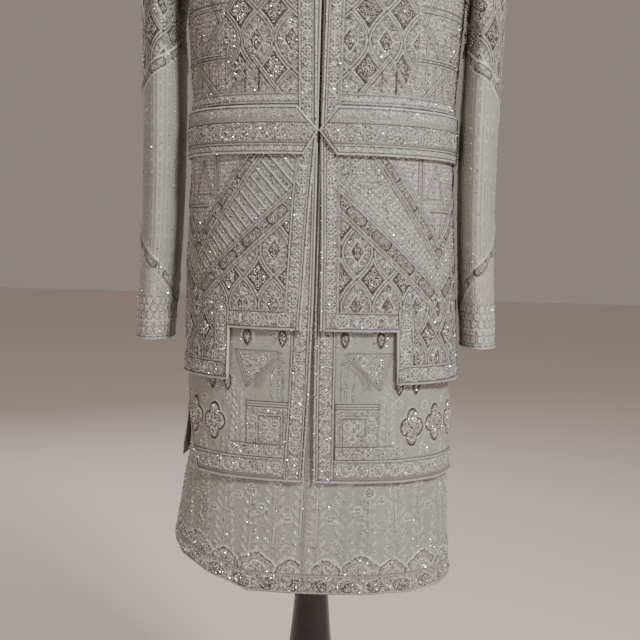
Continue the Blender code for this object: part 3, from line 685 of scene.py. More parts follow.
def arcade(paint, a, v, centres, low, radius, inside=1.0):
    """Scalloped arches: half rosettes on the line v = low, whose outline is a circle with five lobes."""
    for centre in centres:
        x, y = a - centre, v - low
        r, angle = np.hypot(x, y), np.arctan2(y, x)
        edge = radius * (0.90 + 0.12 * np.abs(np.cos(2.5 * (angle - np.pi / 2))))
        up = (y > 0) * inside
        lay(paint, within(r, edge) * up, SILVER, 0.45, 0.0003, 0.3)
        lay(paint, within(np.abs(r - edge), 0.0009) * up, PEARL, 0.0, 0.0007)
        # Painted shade just inside the edge cord.
        lay(paint, within(np.abs(r - edge + 0.0022), 0.0008) * up, PAINTED_SHADE)
        lay(paint, within(np.abs(r - edge * 0.55), 0.0007) * up, PEARL, 0.0, 0.0005)


def zardozi_group():
    """Thread and bead relief in clumps: glass beads as domed cells, couched purl as bands of swirling noise.

    Out of it come a shade for the colour, a gloss mask for the few bright faces, and a height. The shade is
    random tone with painted shade, darker towards each bead dome's edge and in the purl's troughs, plus painted
    glints on those few faces."""
    group, start, end = new_group(
        "zardozi_relief",
        [("Cover", "INPUT", "Float"), ("Shade", "OUTPUT", "Float"), ("Gloss", "OUTPUT", "Float"),
         ("Height", "OUTPUT", "Float")],
    )
    flat = add_node(group, "ShaderNodeUVMap", uv_map="flat_m").outputs[0]
    cells = add_node(group, "ShaderNodeTexVoronoi", {"Vector": flat, "Scale": 430.0, "Randomness": 0.85})
    chance = add_node(group, "ShaderNodeSeparateColor", {"Color": cells.outputs["Color"]})
    dome = maths(group, "SUBTRACT", 1.0, maths(group, "MULTIPLY", cells.outputs["Distance"], 1.35))
    swirl = add_node(group, "ShaderNodeTexNoise", {"Vector": flat, "Scale": 105.0, "Detail": 1.0})
    purl = maths(group, "SINE", maths(group, "MULTIPLY", swirl.outputs["Fac"], 46.0))
    purl = ranged(group, purl, -1.0, 1.0, 0.0, 1.0)
    choice = add_node(group, "ShaderNodeTexNoise", {"Vector": flat, "Scale": 62.0, "Detail": 2.0})
    choice = ranged(group, choice.outputs["Fac"], 0.44, 0.54, 0.0, 1.0)
    height = add_node(group, "ShaderNodeMix", {0: choice, 2: purl, 3: dome}).outputs[0]
    tint = ranged(group, chance.outputs["Red"], 0.0, 1.0, 0.40, 1.65)
    # Painted shade: bead colour darkens from each dome's top to its cell edge, and purl colour darkens into the
    # troughs of its swirl.
    dome_painted_shade = maths(group, "MULTIPLY", tint, ranged(group, dome, 0.05, 0.55, 0.12, 1.15))
    purl_painted_shade = ranged(group, purl, 0.0, 0.80, 0.25, 1.30)
    shade = add_node(group, "ShaderNodeMix", {0: choice, 2: purl_painted_shade, 3: dome_painted_shade}).outputs[0]
    clumps = add_node(group, "ShaderNodeTexNoise", {"Vector": flat, "Scale": 210.0, "Detail": 2.0})
    clumps = ranged(group, clumps.outputs["Fac"], 0.36, 0.64, 0.42, 1.56)
    shade = maths(group, "MULTIPLY", shade, clumps)
    # Painted glint: a few cells get light added to their colour, besides the real metal and low roughness given
    # by the gloss mask.
    bright = ranged(group, chance.outputs["Green"], 0.84, 0.86, 0.0, 1.0)
    bright = maths(group, "MULTIPLY", bright, choice)
    shade = maths(group, "ADD", shade, maths(group, "MULTIPLY", bright, 1.1))
    cover = start.outputs["Cover"]
    shade = add_node(group, "ShaderNodeMix", {0: cover, 2: 1.0, 3: shade}).outputs[0]
    group.links.new(shade, end.inputs["Shade"])
    group.links.new(maths(group, "MULTIPLY", bright, cover), end.inputs["Gloss"])
    group.links.new(maths(group, "MULTIPLY", height, cover), end.inputs["Height"])
    return group


def silk_group():
    """Raw silk: fine weft ribs with slubs, as stretched noise across the flat cloth, and a slow mottle."""
    group, start, end = new_group(
        "raw_silk_weave", [("Shade", "OUTPUT", "Float"), ("Height", "OUTPUT", "Float")])
    flat = add_node(group, "ShaderNodeUVMap", uv_map="flat_m").outputs[0]
    weft = add_node(group, "ShaderNodeMapping", {"Vector": flat, "Scale": (60.0, 1500.0, 1.0)}).outputs[0]
    slubs = add_node(group, "ShaderNodeTexNoise", {"Vector": weft, "Scale": 1.0, "Detail": 2.0})
    warp = add_node(group, "ShaderNodeMapping", {"Vector": flat, "Scale": (1400.0, 45.0, 1.0)}).outputs[0]
    ends = add_node(group, "ShaderNodeTexNoise", {"Vector": warp, "Scale": 1.0, "Detail": 1.0})
    mottle = add_node(group, "ShaderNodeTexNoise", {"Vector": flat, "Scale": 24.0, "Detail": 4.0})
    height = maths(group, "ADD", slubs.outputs["Fac"], maths(group, "MULTIPLY", ends.outputs["Fac"], 0.5))
    shade = maths(group, "MULTIPLY", ranged(group, slubs.outputs["Fac"], 0.3, 0.7, 0.90, 1.08),
                  ranged(group, mottle.outputs["Fac"], 0.3, 0.7, 0.92, 1.07))
    group.links.new(shade, end.inputs["Shade"])
    group.links.new(height, end.inputs["Height"])
    return group


zardozi_relief = zardozi_group()
raw_silk_weave = silk_group()


def embroidered_cloth(name, relief_depth, roughness):
    """Silk with metal-thread work: the drawn colours toned by the weave and given the relief's painted shade
    and painted glints, glossier on the glinting faces.
    """
    material, tree, shader = new_material(name, roughness, sheen=0.05)
    shader.inputs["Sheen Roughness"].default_value = 0.4
    shader.inputs["Specular IOR Level"].default_value = 0.35
    colour = add_node(tree, "ShaderNodeAttribute", attribute_name="thread").outputs["Color"]
    cover = add_node(tree, "ShaderNodeAttribute", attribute_name="beadwork").outputs["Fac"]
    relief = add_node(tree, "ShaderNodeGroup", node_tree=zardozi_relief)
    tree.links.new(cover, relief.inputs["Cover"])
    weave = add_node(tree, "ShaderNodeGroup", node_tree=raw_silk_weave)
    shade = maths(tree, "MULTIPLY", relief.outputs["Shade"], weave.outputs["Shade"])
    grey = add_node(tree, "ShaderNodeCombineColor", {0: shade, 1: shade, 2: shade}).outputs[0]
    tree.links.new(mix_colour(tree, 1.0, colour, grey, "MULTIPLY"), shader.inputs["Base Color"])
    gloss, beading, ribs = relief.outputs["Gloss"], relief.outputs["Height"], weave.outputs["Height"]
    tree.links.new(ranged(tree, gloss, 0.0, 1.0, roughness, 0.18), shader.inputs["Roughness"])
    tree.links.new(ranged(tree, gloss, 0.0, 1.0, 0.10, 0.75), shader.inputs["Metallic"])
    fine = add_node(tree, "ShaderNodeBump", {"Strength": 0.35, "Distance": 0.0002, "Height": ribs}).outputs[0]
    deep = add_node(tree, "ShaderNodeBump", {"Strength": 1.0, "Distance": relief_depth, "Height": beading,
                                             "Normal": fine})
    tree.links.new(deep.outputs[0], shader.inputs["Normal"])
    return material


brocade = embroidered_cloth("silver_sage_brocade", 0.0024, 0.48)
under_silk = embroidered_cloth("sage_under_silk", 0.0018, 0.50)


def scatter_beads(name, paints, wanted, size, seed):
    """Cut-glass beads: squashed four-sided double cones at points picked by the drawing's spark density.

    Each is turned at random round the cloth's normal and tilted a little, so that they glint apart."""
    rng = np.random.default_rng(seed)
    points = np.concatenate([paint["points"].reshape(-1, 3) for paint in paints])
    normal = np.concatenate([paint["normal"].reshape(-1, 3) for paint in paints])
    weight = np.concatenate([paint["sparks"].ravel() for paint in paints])
    picked = rng.choice(len(points), size=min(wanted, int((weight > 0.05).sum())), replace=False,
                        p=weight / weight.sum())
    centre, up = points[picked], normal[picked] + rng.normal(0, 0.28, (len(picked), 3))
    up /= np.linalg.norm(up, axis=1, keepdims=True)
    side = np.cross(up, rng.normal(0, 1, (len(picked), 3)))
    side /= np.linalg.norm(side, axis=1, keepdims=True)
    third = np.cross(up, side)
    radius = size * rng.uniform(0.70, 1.20, (len(picked), 1, 1))
    ring = side[:, None] * np.cos(BEAD_TURNS)[:, None] + third[:, None] * np.sin(BEAD_TURNS)[:, None]
    body = np.concatenate([ring, up[:, None] * 0.75, -up[:, None] * 0.5], 1) * radius
    body = body + centre[:, None] + up[:, None] * radius * 0.35
    k = np.arange(4)
    beyond = (k + 1) % 4
    pattern = np.concatenate([np.stack([k, beyond, k * 0 + 4], 1), np.stack([beyond, k, k * 0 + 5], 1)])
    faces = (pattern[None] + 6 * np.arange(len(picked))[:, None, None]).reshape(-1, 3)
    kind = rng.choice(4, size=len(picked), p=BEAD_SHARES)
    tones = np.array([PEARL, SILVER, CLEAR_GLASS, SMOKED_GLASS])[kind]
    mesh = build_mesh(name, body.reshape(-1, 3), [faces], None, {"glass": np.repeat(tones, 6, axis=0)})
    mesh.polygons.foreach_set("use_smooth", np.zeros(len(mesh.polygons), bool))
    return add_piece(name, mesh, cut_glass)


def glass_beads():
    """Silver-lined cut glass: a bright metallic body under a clear coat, each bead its own tone."""
    material, tree, shader = new_material("silver_lined_beads", 0.16, metallic=0.55, coat=0.5)
    tone = add_node(tree, "ShaderNodeAttribute", attribute_name="glass").outputs["Color"]
    place = add_node(tree, "ShaderNodeTexCoord").outputs["Object"]
    worn = add_node(tree, "ShaderNodeTexNoise", {"Vector": place, "Scale": 300.0, "Detail": 1.0})
    dull = ranged(tree, worn.outputs["Fac"], 0.35, 0.65, 0.75, 1.1)
    grey = add_node(tree, "ShaderNodeCombineColor", {0: dull, 1: dull, 2: dull}).outputs[0]
    tree.links.new(mix_colour(tree, 1.0, tone, grey, "MULTIPLY"), shader.inputs["Base Color"])
    tree.links.new(ranged(tree, worn.outputs["Fac"], 0.3, 0.7, 0.10, 0.30), shader.inputs["Roughness"])
    return material


cut_glass = glass_beads()


def soft_waves(a, v, depth, low, high, centres):
    """Hanging folds: a smooth trough for each (place, half width, share), fading out from low to high."""
    fade = np.clip((high - v) / (high - low), 0, 1) ** 1.3
    leaning = a - 0.05 * (v - low)
    folds = sum(share * np.exp(-(((leaning - place) / half) ** 2)) for place, half, share in centres)
    return depth * fade * folds


def lower_drawing(flat):
    """Vines on plain silk over a scalloped arcade, and the hem band of oval medals."""
    a, v = flat[..., 0], flat[..., 1]
    paint = plain_ground(flat, SAGE, 0.06)
    near = within(v, VINE_TOP + 0.01, 0.01)
    haze = within(np.abs(np.sin(a * 92.0) * np.sin(v * 60.0 + a * 20)), 0.35, 0.5) * near
    lay(paint, haze * 0.6, SILVER, 0.45, 0.0, 0.10)
    for k, stem in enumerate(LOWER_STEMS):
        tall = (0.655, 0.690, 0.640, 0.700)[k % 4]
        vine(paint, a, v, stem, ARCADE_LOW, tall, near, reach=0.0125 if k % 2 else 0.0095)
        head = (stem, tall - 0.035 * (k % 2))
        flower(paint, a, v, head, 0.0062, 6, inside=near)
        flower(paint, a, v, (stem + 0.016, 0.606 + 0.012 * (k % 3)), 0.0048, 6, inside=near)
    arcade(paint, a, v, (0.066, 0.150, 0.228), ARCADE_LOW, 0.026)
    arcade(paint, a, v, (0.022, 0.107, 0.190), ARCADE_LOW, 0.020)
    band = within(v, LOWER_BAND_TOP)
    lay(paint, band, SILVER, 0.7, 0.0002, 0.35)
    for centre in LOWER_MEDALS:
        x, y = a - centre, v - LOWER_BAND_MIDDLE
        off = np.hypot(x / 1.45, y) - 0.0072
        lay(paint, within(off, 0.0020) * band, PEARL, 0.1, 0.0006)
        lay(paint, within(np.abs(off), 0.0009) * band, BRONZE)
        lay(paint, within(off, -0.0012) * band, TAUPE, 1.0, 0.0008, 1.0)
        lay(paint, within(np.hypot(x - 0.0172, y), 0.0026) * band, PEARL, 0.0, 0.0007, 0.9)
    cord(paint, np.abs(v - LOWER_BAND_TOP), width=0.0008)
    cord(paint, np.abs(v - LOWER_HEM - 0.0010), width=0.0009)
    return paint


def piped_edge(paint, edge_distance, width=0.0016, raised=0.0008):
    """A piped edge: a round ridge that follows a front edge or hem, with painted shade laid along both sides of
    it.
    """
    lay(paint, within(edge_distance, width + 0.0016, 0.0012), PAINTED_SHADE, 0.0)
    lay(paint, within(edge_distance, width), PIPING, 0.0, raised)


lower_paints = []
for side, word in ((-1, "left"), (1, "right")):
    starts = front_starts("lower", side, LOWER_ROWS)
    grids = panel_grid("lower", "front", side, LOWER_ROWS, LOWER_COLUMNS, LOWER_WALL, starts,
                       np.ones(len(LOWER_ROWS)))
    flat = grids[2]
    paint = lower_drawing(flat)
    if side > 0:
        piped_edge(paint, flat[..., 0] - flat[:1, :, 0])
    folds = soft_waves(flat[..., 0], flat[..., 1], 0.0032, LOWER_HEM, 0.655,
                       ((0.075, 0.013, 0.8), (0.128, 0.016, 1.0), (0.178, 0.014, 0.9), (0.215, 0.012, 0.3)))
    piece = cloth_shell(f"skirt_{word}", grids, paint, (8, 8), under_silk, folds)
    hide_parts(f"lower_front_{word}")
    lower_paints.append(paint)
scatter_beads("skirt_beads", lower_paints, 4000, 0.00105, 11)


def back_grid(layer, rows, half_columns, wall):
    """A whole back from side seam to side seam: the left quarter turned over, then the right one."""
    level = np.zeros(len(rows))
    left, right = (
        panel_grid(layer, "back", side, rows, half_columns, wall, level, level + 1) for side in (-1, 1))
    left = (left[0], left[1], left[2] * (-1.0, 1.0))
    return [np.concatenate([turned[:0:-1], straight]) for turned, straight in zip(left, right)]


grids = back_grid("lower", LOWER_ROWS[::2], 65, LOWER_WALL)
flat = grids[2]
paint = lower_drawing(np.abs(flat))
folds = soft_waves(flat[..., 0], flat[..., 1], 0.0040, LOWER_HEM, 0.655,
                   ((-0.19, 0.018, 1.0), (-0.08, 0.015, 0.7), (0.03, 0.020, 0.8), (0.14, 0.016, 1.0)))
piece = cloth_shell("skirt_back", grids, paint, (8, 4), under_silk, folds)
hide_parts("lower_back")

# ---------------------------------------------------------------------------------------------------------
# Middle layer: a sleeveless open coat of sage silk worn under the short one. Its front edges show as two
# narrow strips. It has a bordered hem, nested frames, hanging drops and lobed medals, and side slits.

MIDDLE_WALL = 0.0015
MIDDLE_HEM = HEMS["middle"]
MIDDLE_ROWS = np.concatenate([
    np.linspace(MIDDLE_HEM, 0.872, 137)[:-1],
    np.linspace(0.872, UNDERARM, 17)[:-1],
    UNDERARM + np.linspace(0, 1, 9),
])
MIDDLE_COLUMNS = 161
SLIT_TOP = 0.800
SLIT_CURLS = {-1: 0.39, 1: 0.05}
SLIT_CURL_POWER = 0.8
MIDDLE_BORDER = 0.0235
BLOSSOM_START = 0.1095
BLOSSOM_PITCH = 0.0385


def frame_lines(paint, a, v, low, high, inside=1.0):
    """A rectangle of couched cord: the distance to the nearest of its four sides."""
    x = np.abs(a - (low[0] + high[0]) / 2) - (high[0] - low[0]) / 2
    y = np.abs(v - (low[1] + high[1]) / 2) - (high[1] - low[1]) / 2
    deepest = np.maximum(x, y)
    off = np.abs(np.where(deepest > 0, np.hypot(np.maximum(x, 0), np.maximum(y, 0)), deepest))
    cord(paint, off, inside, 0.0007)
    return within(deepest, 0.0)


def hanging_drop(paint, a, v, centre):
    """A long bead drop with a dark outline and a spray of small beads each side."""
    jewel(paint, a, v, centre, 0.0042, 0.0085, 1.5)
    for k in range(5):
        for way in (-1, 1):
            spot = (centre[0] + way * (0.0075 + 0.0012 * (k % 2)), centre[1] + 0.0065 - 0.0035 * k)
            ball = np.hypot(a - spot[0], v - spot[1])
            lay(paint, within(ball, 0.0011), PEARL, 0.0, 0.0007, 0.8)


def ogee_medal(paint, a, v, centre, half_width, half_height):
    """A four-lobed medal: its radius swells at the four ends as |cos 2t|, in a bold dark outline."""
    x, y = (a - centre[0]) / half_width, (v - centre[1]) / half_height
    r, angle = np.hypot(x, y), np.arctan2(y, x)
    edge = 0.60 + 0.38 * np.abs(np.cos(2 * angle)) ** 0.9
    off = (r - edge) * half_width
    lay(paint, within(off, 0.0028, 0.0014), CORD, 0.3, 0.0004)
    lay(paint, within(np.abs(off), 0.0015), BRONZE, 0.0, 0.0004)
    lay(paint, within(off, -0.0015), SILVER, 0.5, 0.0006, 0.5)
    lay(paint, within(np.abs(off + 0.0042), 0.0008), CORD, 0.1, 0.0004)
    # Painted shade just inside the inner cord.
    lay(paint, within(np.abs(off + 0.0058), 0.0007), PAINTED_SHADE)
    eye = np.abs(x) * half_width + np.abs(y) * half_height * 0.55
    lay(paint, within(eye, 0.0034), BEADED, 1.0, 0.0003, 1.0)


def middle_drawing(flat, edge=None):
    """Frames, drops and ogee medals above a bordered hem. Edge is a at the front edge, for a front panel."""
    a, v = flat[..., 0], flat[..., 1]
    paint = plain_ground(flat, SAGE, 0.04)
    shown = within(v, 0.885, 0.01)
    x = a - edge if edge is not None else a + 1.0
    field = (x > MIDDLE_BORDER) * (v > 0.682)
    mist = within(np.abs(np.sin(a * 150) + np.sin(v * 130 + a * 60)), 0.35, 0.4) * field * shown
    lay(paint, mist * 0.4, SILVER, 0.35, 0.0, 0.05)
    for place in ((0.109, 0.773), (0.133, 0.773), (0.038, 0.831), (0.083, 0.831)):
        hanging_drop(paint, a, v, place)
    panel = within(np.maximum(0.0440 - a, np.maximum(a - 0.094, np.abs(v - 0.792) - 0.020)), 0.0)
    panel = panel * ((a - 0.046) * 0.036 > (0.812 - v) * 0.030) * ((0.094 - a) * 0.042 > (0.812 - v) * 0.016)
    lay(paint, panel, SILVER, 0.5, 0.0003, 0.2)
    for start, end in (((0.040, 0.812), (0.083, 0.770)), ((0.083, 0.770), (0.098, 0.812))):
        cord(paint, to_segment(a, v, start, end)[0], shown * 0.7, 0.0007)
    for arch in (0.0330, 0.0390):
        off = np.abs(np.hypot(a - 0.032, v - 0.766) - arch) + 1.0 * ((a < 0.036) | (v < 0.768))
        cord(paint, off, shown * 0.7, 0.0006)
    cord(paint, to_segment(a, v, (0.044, 0.813), (0.098, 0.813))[0], shown * 0.7, 0.0006)
    for level_line in (0.750, 0.746):
        cord(paint, to_segment(a, v, (0.030, level_line), (0.082, level_line))[0], shown, 0.0008)
    for place in (0.036, 0.041, 0.050):
        beads_along(paint, a, v, (place, 0.755), (place, 0.800 - (place - 0.036) * 0.9), 0.0036, 0.0009)
    inside = frame_lines(paint, a, v, (0.031, 0.699), (0.081, 0.743))
    lay(paint, inside * 0.7, SILVER, 0.5, 0.0002, 0.25)
    frame_lines(paint, a, v, (0.037, 0.699), (0.068, 0.735))
    for place in ((0.045, 0.724), (0.058, 0.724), (0.051, 0.709), (0.074, 0.729), (0.074, 0.710)):
        flower(paint, a, v, place, 0.0050, 6)
    band = frame_lines(paint, a, v, (0.031, 0.6835), (0.108, 0.6965))
    lay(paint, band * 0.8, SILVER, 0.5, 0.0002, 0.3)
    vine(paint, a, v, 0.0945, 0.700, 0.765, shown, 0.0095, 0.0085)
    for place in ((0.1285, 0.7215), (0.1665, 0.7245)):
        ogee_medal(paint, a, v, place, 0.0165, 0.0230)
    for place in (0.205, 0.236):
        ogee_medal(paint, a, v, (place, 0.725), 0.0150, 0.0220)
    for k in range(5):
        place = BLOSSOM_START + BLOSSOM_PITCH * k
        flower(paint, a, v, (place, 0.752 - 0.004 * (k % 2)), 0.0050, 6)
        vine(paint, a, v, place, 0.684, 0.702, shown, 0.0070, 0.0060)
    band_of_flowers(paint, a, v, (0.012, 0.6695), (0.262, 0.6695), 0.0115, 0.0215, 0.0066)
    if edge is not None:
        border = within(x, MIDDLE_BORDER)
        lay(paint, border, SILVER, 0.6, 0.0002, 0.2 * shown)
        flower(paint, x, (v - 0.6645) % 0.0215, (0.0125, 0.01075), 0.0066, inside=border * shown)
        cord(paint, np.abs(x - MIDDLE_BORDER), shown, 0.0007)
        cord(paint, np.abs(x - 0.0045), 1.0, 0.0006)
        piped_edge(paint, x, 0.0017)
    piped_edge(paint, v - MIDDLE_HEM, 0.0018, 0.0009)
    return paint


middle_paints = []
for side, word in ((-1, "left"), (1, "right")):
    starts = front_starts("middle", side, MIDDLE_ROWS)
    slit = np.clip((SLIT_TOP - MIDDLE_ROWS) / (SLIT_TOP - MIDDLE_HEM), 0, 1)
    ends = 1 - SLIT_CURLS[side] * slit**SLIT_CURL_POWER
    grids = panel_grid("middle", "front", side, MIDDLE_ROWS, MIDDLE_COLUMNS, MIDDLE_WALL, starts, ends)
    flat = grids[2]
    paint = middle_drawing(flat, flat[:1, :, 0])
    piped_edge(paint, np.where(MIDDLE_ROWS[None] < SLIT_TOP, flat[-1:, :, 0] - flat[..., 0], 1.0), 0.0015)
    folds = soft_waves(flat[..., 0], flat[..., 1], 0.0016, MIDDLE_HEM, 0.770,
                       ((0.110, 0.016, 0.8), (0.168, 0.018, 1.0), (0.220, 0.014, 0.8)))
    piece = cloth_shell(f"middle_coat_{word}", grids, paint, (8, 4), under_silk, folds)
    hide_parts(f"middle_front_{word}")
    middle_paints.append(paint)
grids = back_grid("middle", MIDDLE_ROWS[::2], 73, MIDDLE_WALL)
paint = middle_drawing(np.abs(grids[2]))
piece = cloth_shell("middle_coat_back", grids, paint, (8, 4), under_silk)
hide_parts("middle_back")
scatter_beads("middle_coat_beads", middle_paints, 4500, 0.00105, 12)

# ---------------------------------------------------------------------------------------------------------
# Outer coat: two fronts and a back of silver brocade, worked all over with cord, purl and glass beads.
# Each front ends in a stepped hem. Bordered edges frame diagonal bands of padded medals on sage silk, and
# nets of ogee curves with beaded jewels fill the rest.

COAT_WALL = 0.0020
COAT_HEM = HEMS["outer"]
COAT_HEM_FRONT = 0.841
STEP_ROW = 40
COAT_ROWS = np.concatenate([
    np.linspace(COAT_HEM, COAT_HEM_FRONT, STEP_ROW + 1)[:-1],
    np.linspace(COAT_HEM_FRONT, UNDERARM, 281)[:-1],
    UNDERARM + np.linspace(0, 1, 49),
])
COAT_COLUMNS = 161
STEP_COLUMN = 64
STEP_SHARES = {-1: 0.368, 1: 0.335}
BORDER_WIDTH = 0.0210
BAND_LOW = ((0.0480, 0.9800), (0.1420, 0.8960))
BAND_LOW_HALF = 0.0098
BAND_HIGH = ((0.0910, 1.0340), (0.1410, 0.9660))
BAND_HIGH_HALF = 0.0074
BOUNCE = 0.1630
SKIRT_TOP = 1.081
BRAID_LINE = 1.1185
BOUND_MIDDLE = 0.0112
ROSETTE_PITCH = 0.0300
MEDAL_CLOTH = (0.29, 0.275, 0.225)
TOWER_CLOTH = (0.46, 0.43, 0.42)
CHEST_CLOTH = (0.44, 0.415, 0.39)
TOWER_LINES = (
    ((0.128, 1.052), (0.128, 1.010)), ((0.134, 1.052), (0.134, 1.000)), ((0.156, 1.045), (0.139, 1.003)),
    ((0.142, 1.004), (0.172, 1.004)), ((0.156, 1.045), (0.180, 0.985)), ((0.150, 0.990), (0.157, 0.952)),
    ((0.172, 0.990), (0.165, 0.952)), ((0.185, 1.052), (0.185, 0.985)), ((0.148, 0.990), (0.215, 0.990)),
)
CHEST_LINES = (
    ((0.083, 1.168), (0.114, 1.120)), ((0.083, 1.168), (0.046, 1.122)), ((0.192, 1.183), (0.125, 1.118)),
    ((0.128, 1.212), (0.190, 1.128)), ((0.192, 1.183), (0.255, 1.255)), ((0.128, 1.212), (0.165, 1.290)),
    ((0.190, 1.128), (0.240, 1.185)),
)


def beyond_line(a, v, line):
    """Signed distance above a straight line, and the distance along it from its first point."""
    (x0, y0), (x1, y1) = line
    length = math.dist(*line)
    run, rise = (x1 - x0) / length, (y1 - y0) / length
    return (v - y0) * run - (a - x0) * rise, (a - x0) * run + (v - y0) * rise


def medal_band(paint, a, v, line, half_width, pitch, size, inside):
    """A diagonal band: silver ground, a double cord along both edges, and padded medals at an even pitch."""
    off, along = beyond_line(a, v, line)
    strip = within(np.abs(off), half_width) * inside
    lay(paint, strip, SILVER, 0.9, 0.0002, 0.45)
    near = (along + pitch / 2) % pitch - pitch / 2
    medal(paint, near, off, (0.0, 0.0), size[0], size[1], 0.0, MEDAL_CLOTH, inside=strip)
    double_cord(paint, np.abs(np.abs(off) - half_width), inside)


def beaded_mesh(paint, a, v, along, above, sage, side):
    """The sage silk's filling: slanting bars with beads on the left, painted shade along one side of each bar
    and round each bead, and a beaded mesh on the right.
    """
    if side < 0:
        cross = (along % 0.0112) - 0.0056
        lay(paint, within(np.abs(cross - 0.0016), 0.0008) * sage, PAINTED_SHADE, 0.0, 0.0, 0.0)
        lay(paint, within(np.abs(cross), 0.0009) * sage, PEARL, 0.1, 0.0009)
        ball = np.hypot(np.abs(cross) - 0.0056, (above % 0.0058) - 0.0029)
        lay(paint, within(ball, 0.0018) * sage, PAINTED_SHADE)
        lay(paint, within(ball, 0.0012) * sage, PEARL, 0.0, 0.0006, 0.9)
    else:
        columns, rows = (along % 0.0064) - 0.0032, (above % 0.0058) - 0.0029
        mesh = within(np.abs(columns), 0.0006) + within(np.abs(rows), 0.0006)
        ball = np.hypot(columns, rows)
        lay(paint, within(ball, 0.0026, 0.0014) * sage, TAUPE)
        lay(paint, np.clip(mesh, 0, 1) * sage * 0.7, CORD, 0.2, 0.0004)
        lay(paint, within(ball, 0.0015) * sage, PEARL, 0.1, 0.0007, 0.6)
        busy = np.clip((v + 0.35 * a - 1.035) / 0.05, 0, 1) * sage
        lay(paint, busy * 0.6, SILVER, 0.8, 0.0, 0.35)


def chest_drawing(paint, a, v, chest):
    """Netting near the front edge, corded frames beyond a wavy line, and a braid above the belt."""
    divide = 0.112 + 0.010 * np.sin((v - 1.16) / 0.030)
    netting = chest * (a < divide) * (v > BRAID_LINE + 0.006)
    ogee_net(paint, a, v, (0.0560, 1.2210), 0.0430, 0.0690, netting)
    frames = chest * (a >= divide) * (v > BRAID_LINE)
    gable = chest * within(np.maximum(0.0, np.abs(a - 0.083) - (1.166 - v) * 0.72), 0.0) * (v < 1.166)
    frames = np.clip(frames + gable, 0, 1)
    lay(paint, frames, CHEST_CLOTH, 0.45, -0.0002)
    hatch = within(np.abs(((v - 1.1) % 0.0060) - 0.0030), 0.0008)
    hatch = hatch * within(np.abs((a % 0.016) - 0.008), 0.0058)
    lay(paint, hatch * frames * 0.7, PEARL, 0.1, 0.0003)
    for place in np.arange(0.118, 0.262, 0.0155):
        ends = ((place, 1.1240 + 0.35 * abs(place - 0.160)), (place, 1.1900 + 0.5 * abs(place - 0.150)))
        cord(paint, to_segment(a, v, *ends)[0], frames, 0.0007)
    for start, end in CHEST_LINES:
        double_cord(paint, to_segment(a, v, start, end)[0], chest, 0.0014)
    for place in (0.0740, 0.0920):
        dark = to_segment(a, v, (place, 1.152), (place, 1.125))[0]
        lay(paint, within(dark, 0.0012) * chest, BRONZE, 0.0)
    for level_line in (1.1660, 1.1720, 1.2260, 1.2320):
        cord(paint, np.abs(v - level_line), frames * (a > divide + 0.004), 0.0006)
    braid = chest * within(np.abs(v - BRAID_LINE), 0.0052)
    lay(paint, braid, SILVER, 0.3, 0.0003, 0.2)
    zigzag = np.abs((v - BRAID_LINE) - 0.0028 * (2 * np.abs((a / 0.0062) % 1 - 0.5) * 2 - 1))
    lay(paint, within(zigzag, 0.0009) * braid, PEARL, 0.0, 0.0006)
    for way in (-0.0055, 0.0055):
        cord(paint, np.abs(v - BRAID_LINE - way), chest, 0.0008)


def coat_borders(paint, a, v, x, edge, step):
    """Flowered bands round the stepped hem and up the front edge, then the piping on the very edge."""
    first = 0.0
    if step is not None:
        turn = float(step.mean())
        first = turn + 0.0110
        band_of_flowers(paint, a, v, (float(edge.mean()) + 0.010, COAT_HEM_FRONT + 0.0122),
                        (turn + 0.0210, COAT_HEM_FRONT + 0.0122), 0.0108, 0.0325, 0.0076)
        band_of_flowers(paint, a, v, (first, COAT_HEM + 0.0120), (first, COAT_HEM_FRONT + 0.0225),
                        0.0104, 0.0290, 0.0074)
    band_of_flowers(paint, a, v, (first, COAT_HEM + 0.0122), (0.262, COAT_HEM + 0.0122),
                    0.0108, 0.0290, 0.0076)
    piped_edge(paint, v - COAT_HEM, 0.0019, 0.0010)
    if step is not None:
        notch = np.where(a < step + 0.002, np.abs(v - COAT_HEM_FRONT), 1.0)
        upright = np.where(v < COAT_HEM_FRONT + 0.001, np.abs(a - step), 1.0)
        piped_edge(paint, np.minimum(notch, upright), 0.0019, 0.0010)
    if edge is not None:
        above_band = v > COAT_HEM_FRONT + 0.020
        border = within(x, BORDER_WIDTH) * above_band
        lay(paint, border, SILVER, 0.6, 0.0002, 0.16)
        up = (v - 0.8590) % ROSETTE_PITCH
        flower(paint, x, up, (BOUND_MIDDLE, ROSETTE_PITCH / 2), 0.0078, inside=border)
        leaf = np.abs(x - BOUND_MIDDLE) / 0.0060
        leaf = leaf + np.abs((up + ROSETTE_PITCH / 2) % ROSETTE_PITCH - ROSETTE_PITCH / 2) / 0.0034
        lay(paint, within(leaf, 1.0, 0.3) * border, PEARL, 0.3, 0.0004, 0.5)
        cord(paint, np.abs(x - BORDER_WIDTH), above_band, 0.0008)
        cord(paint, np.abs(x - 0.0042), 1.0, 0.0006)
        piped_edge(paint, x, 0.0019, 0.0010)


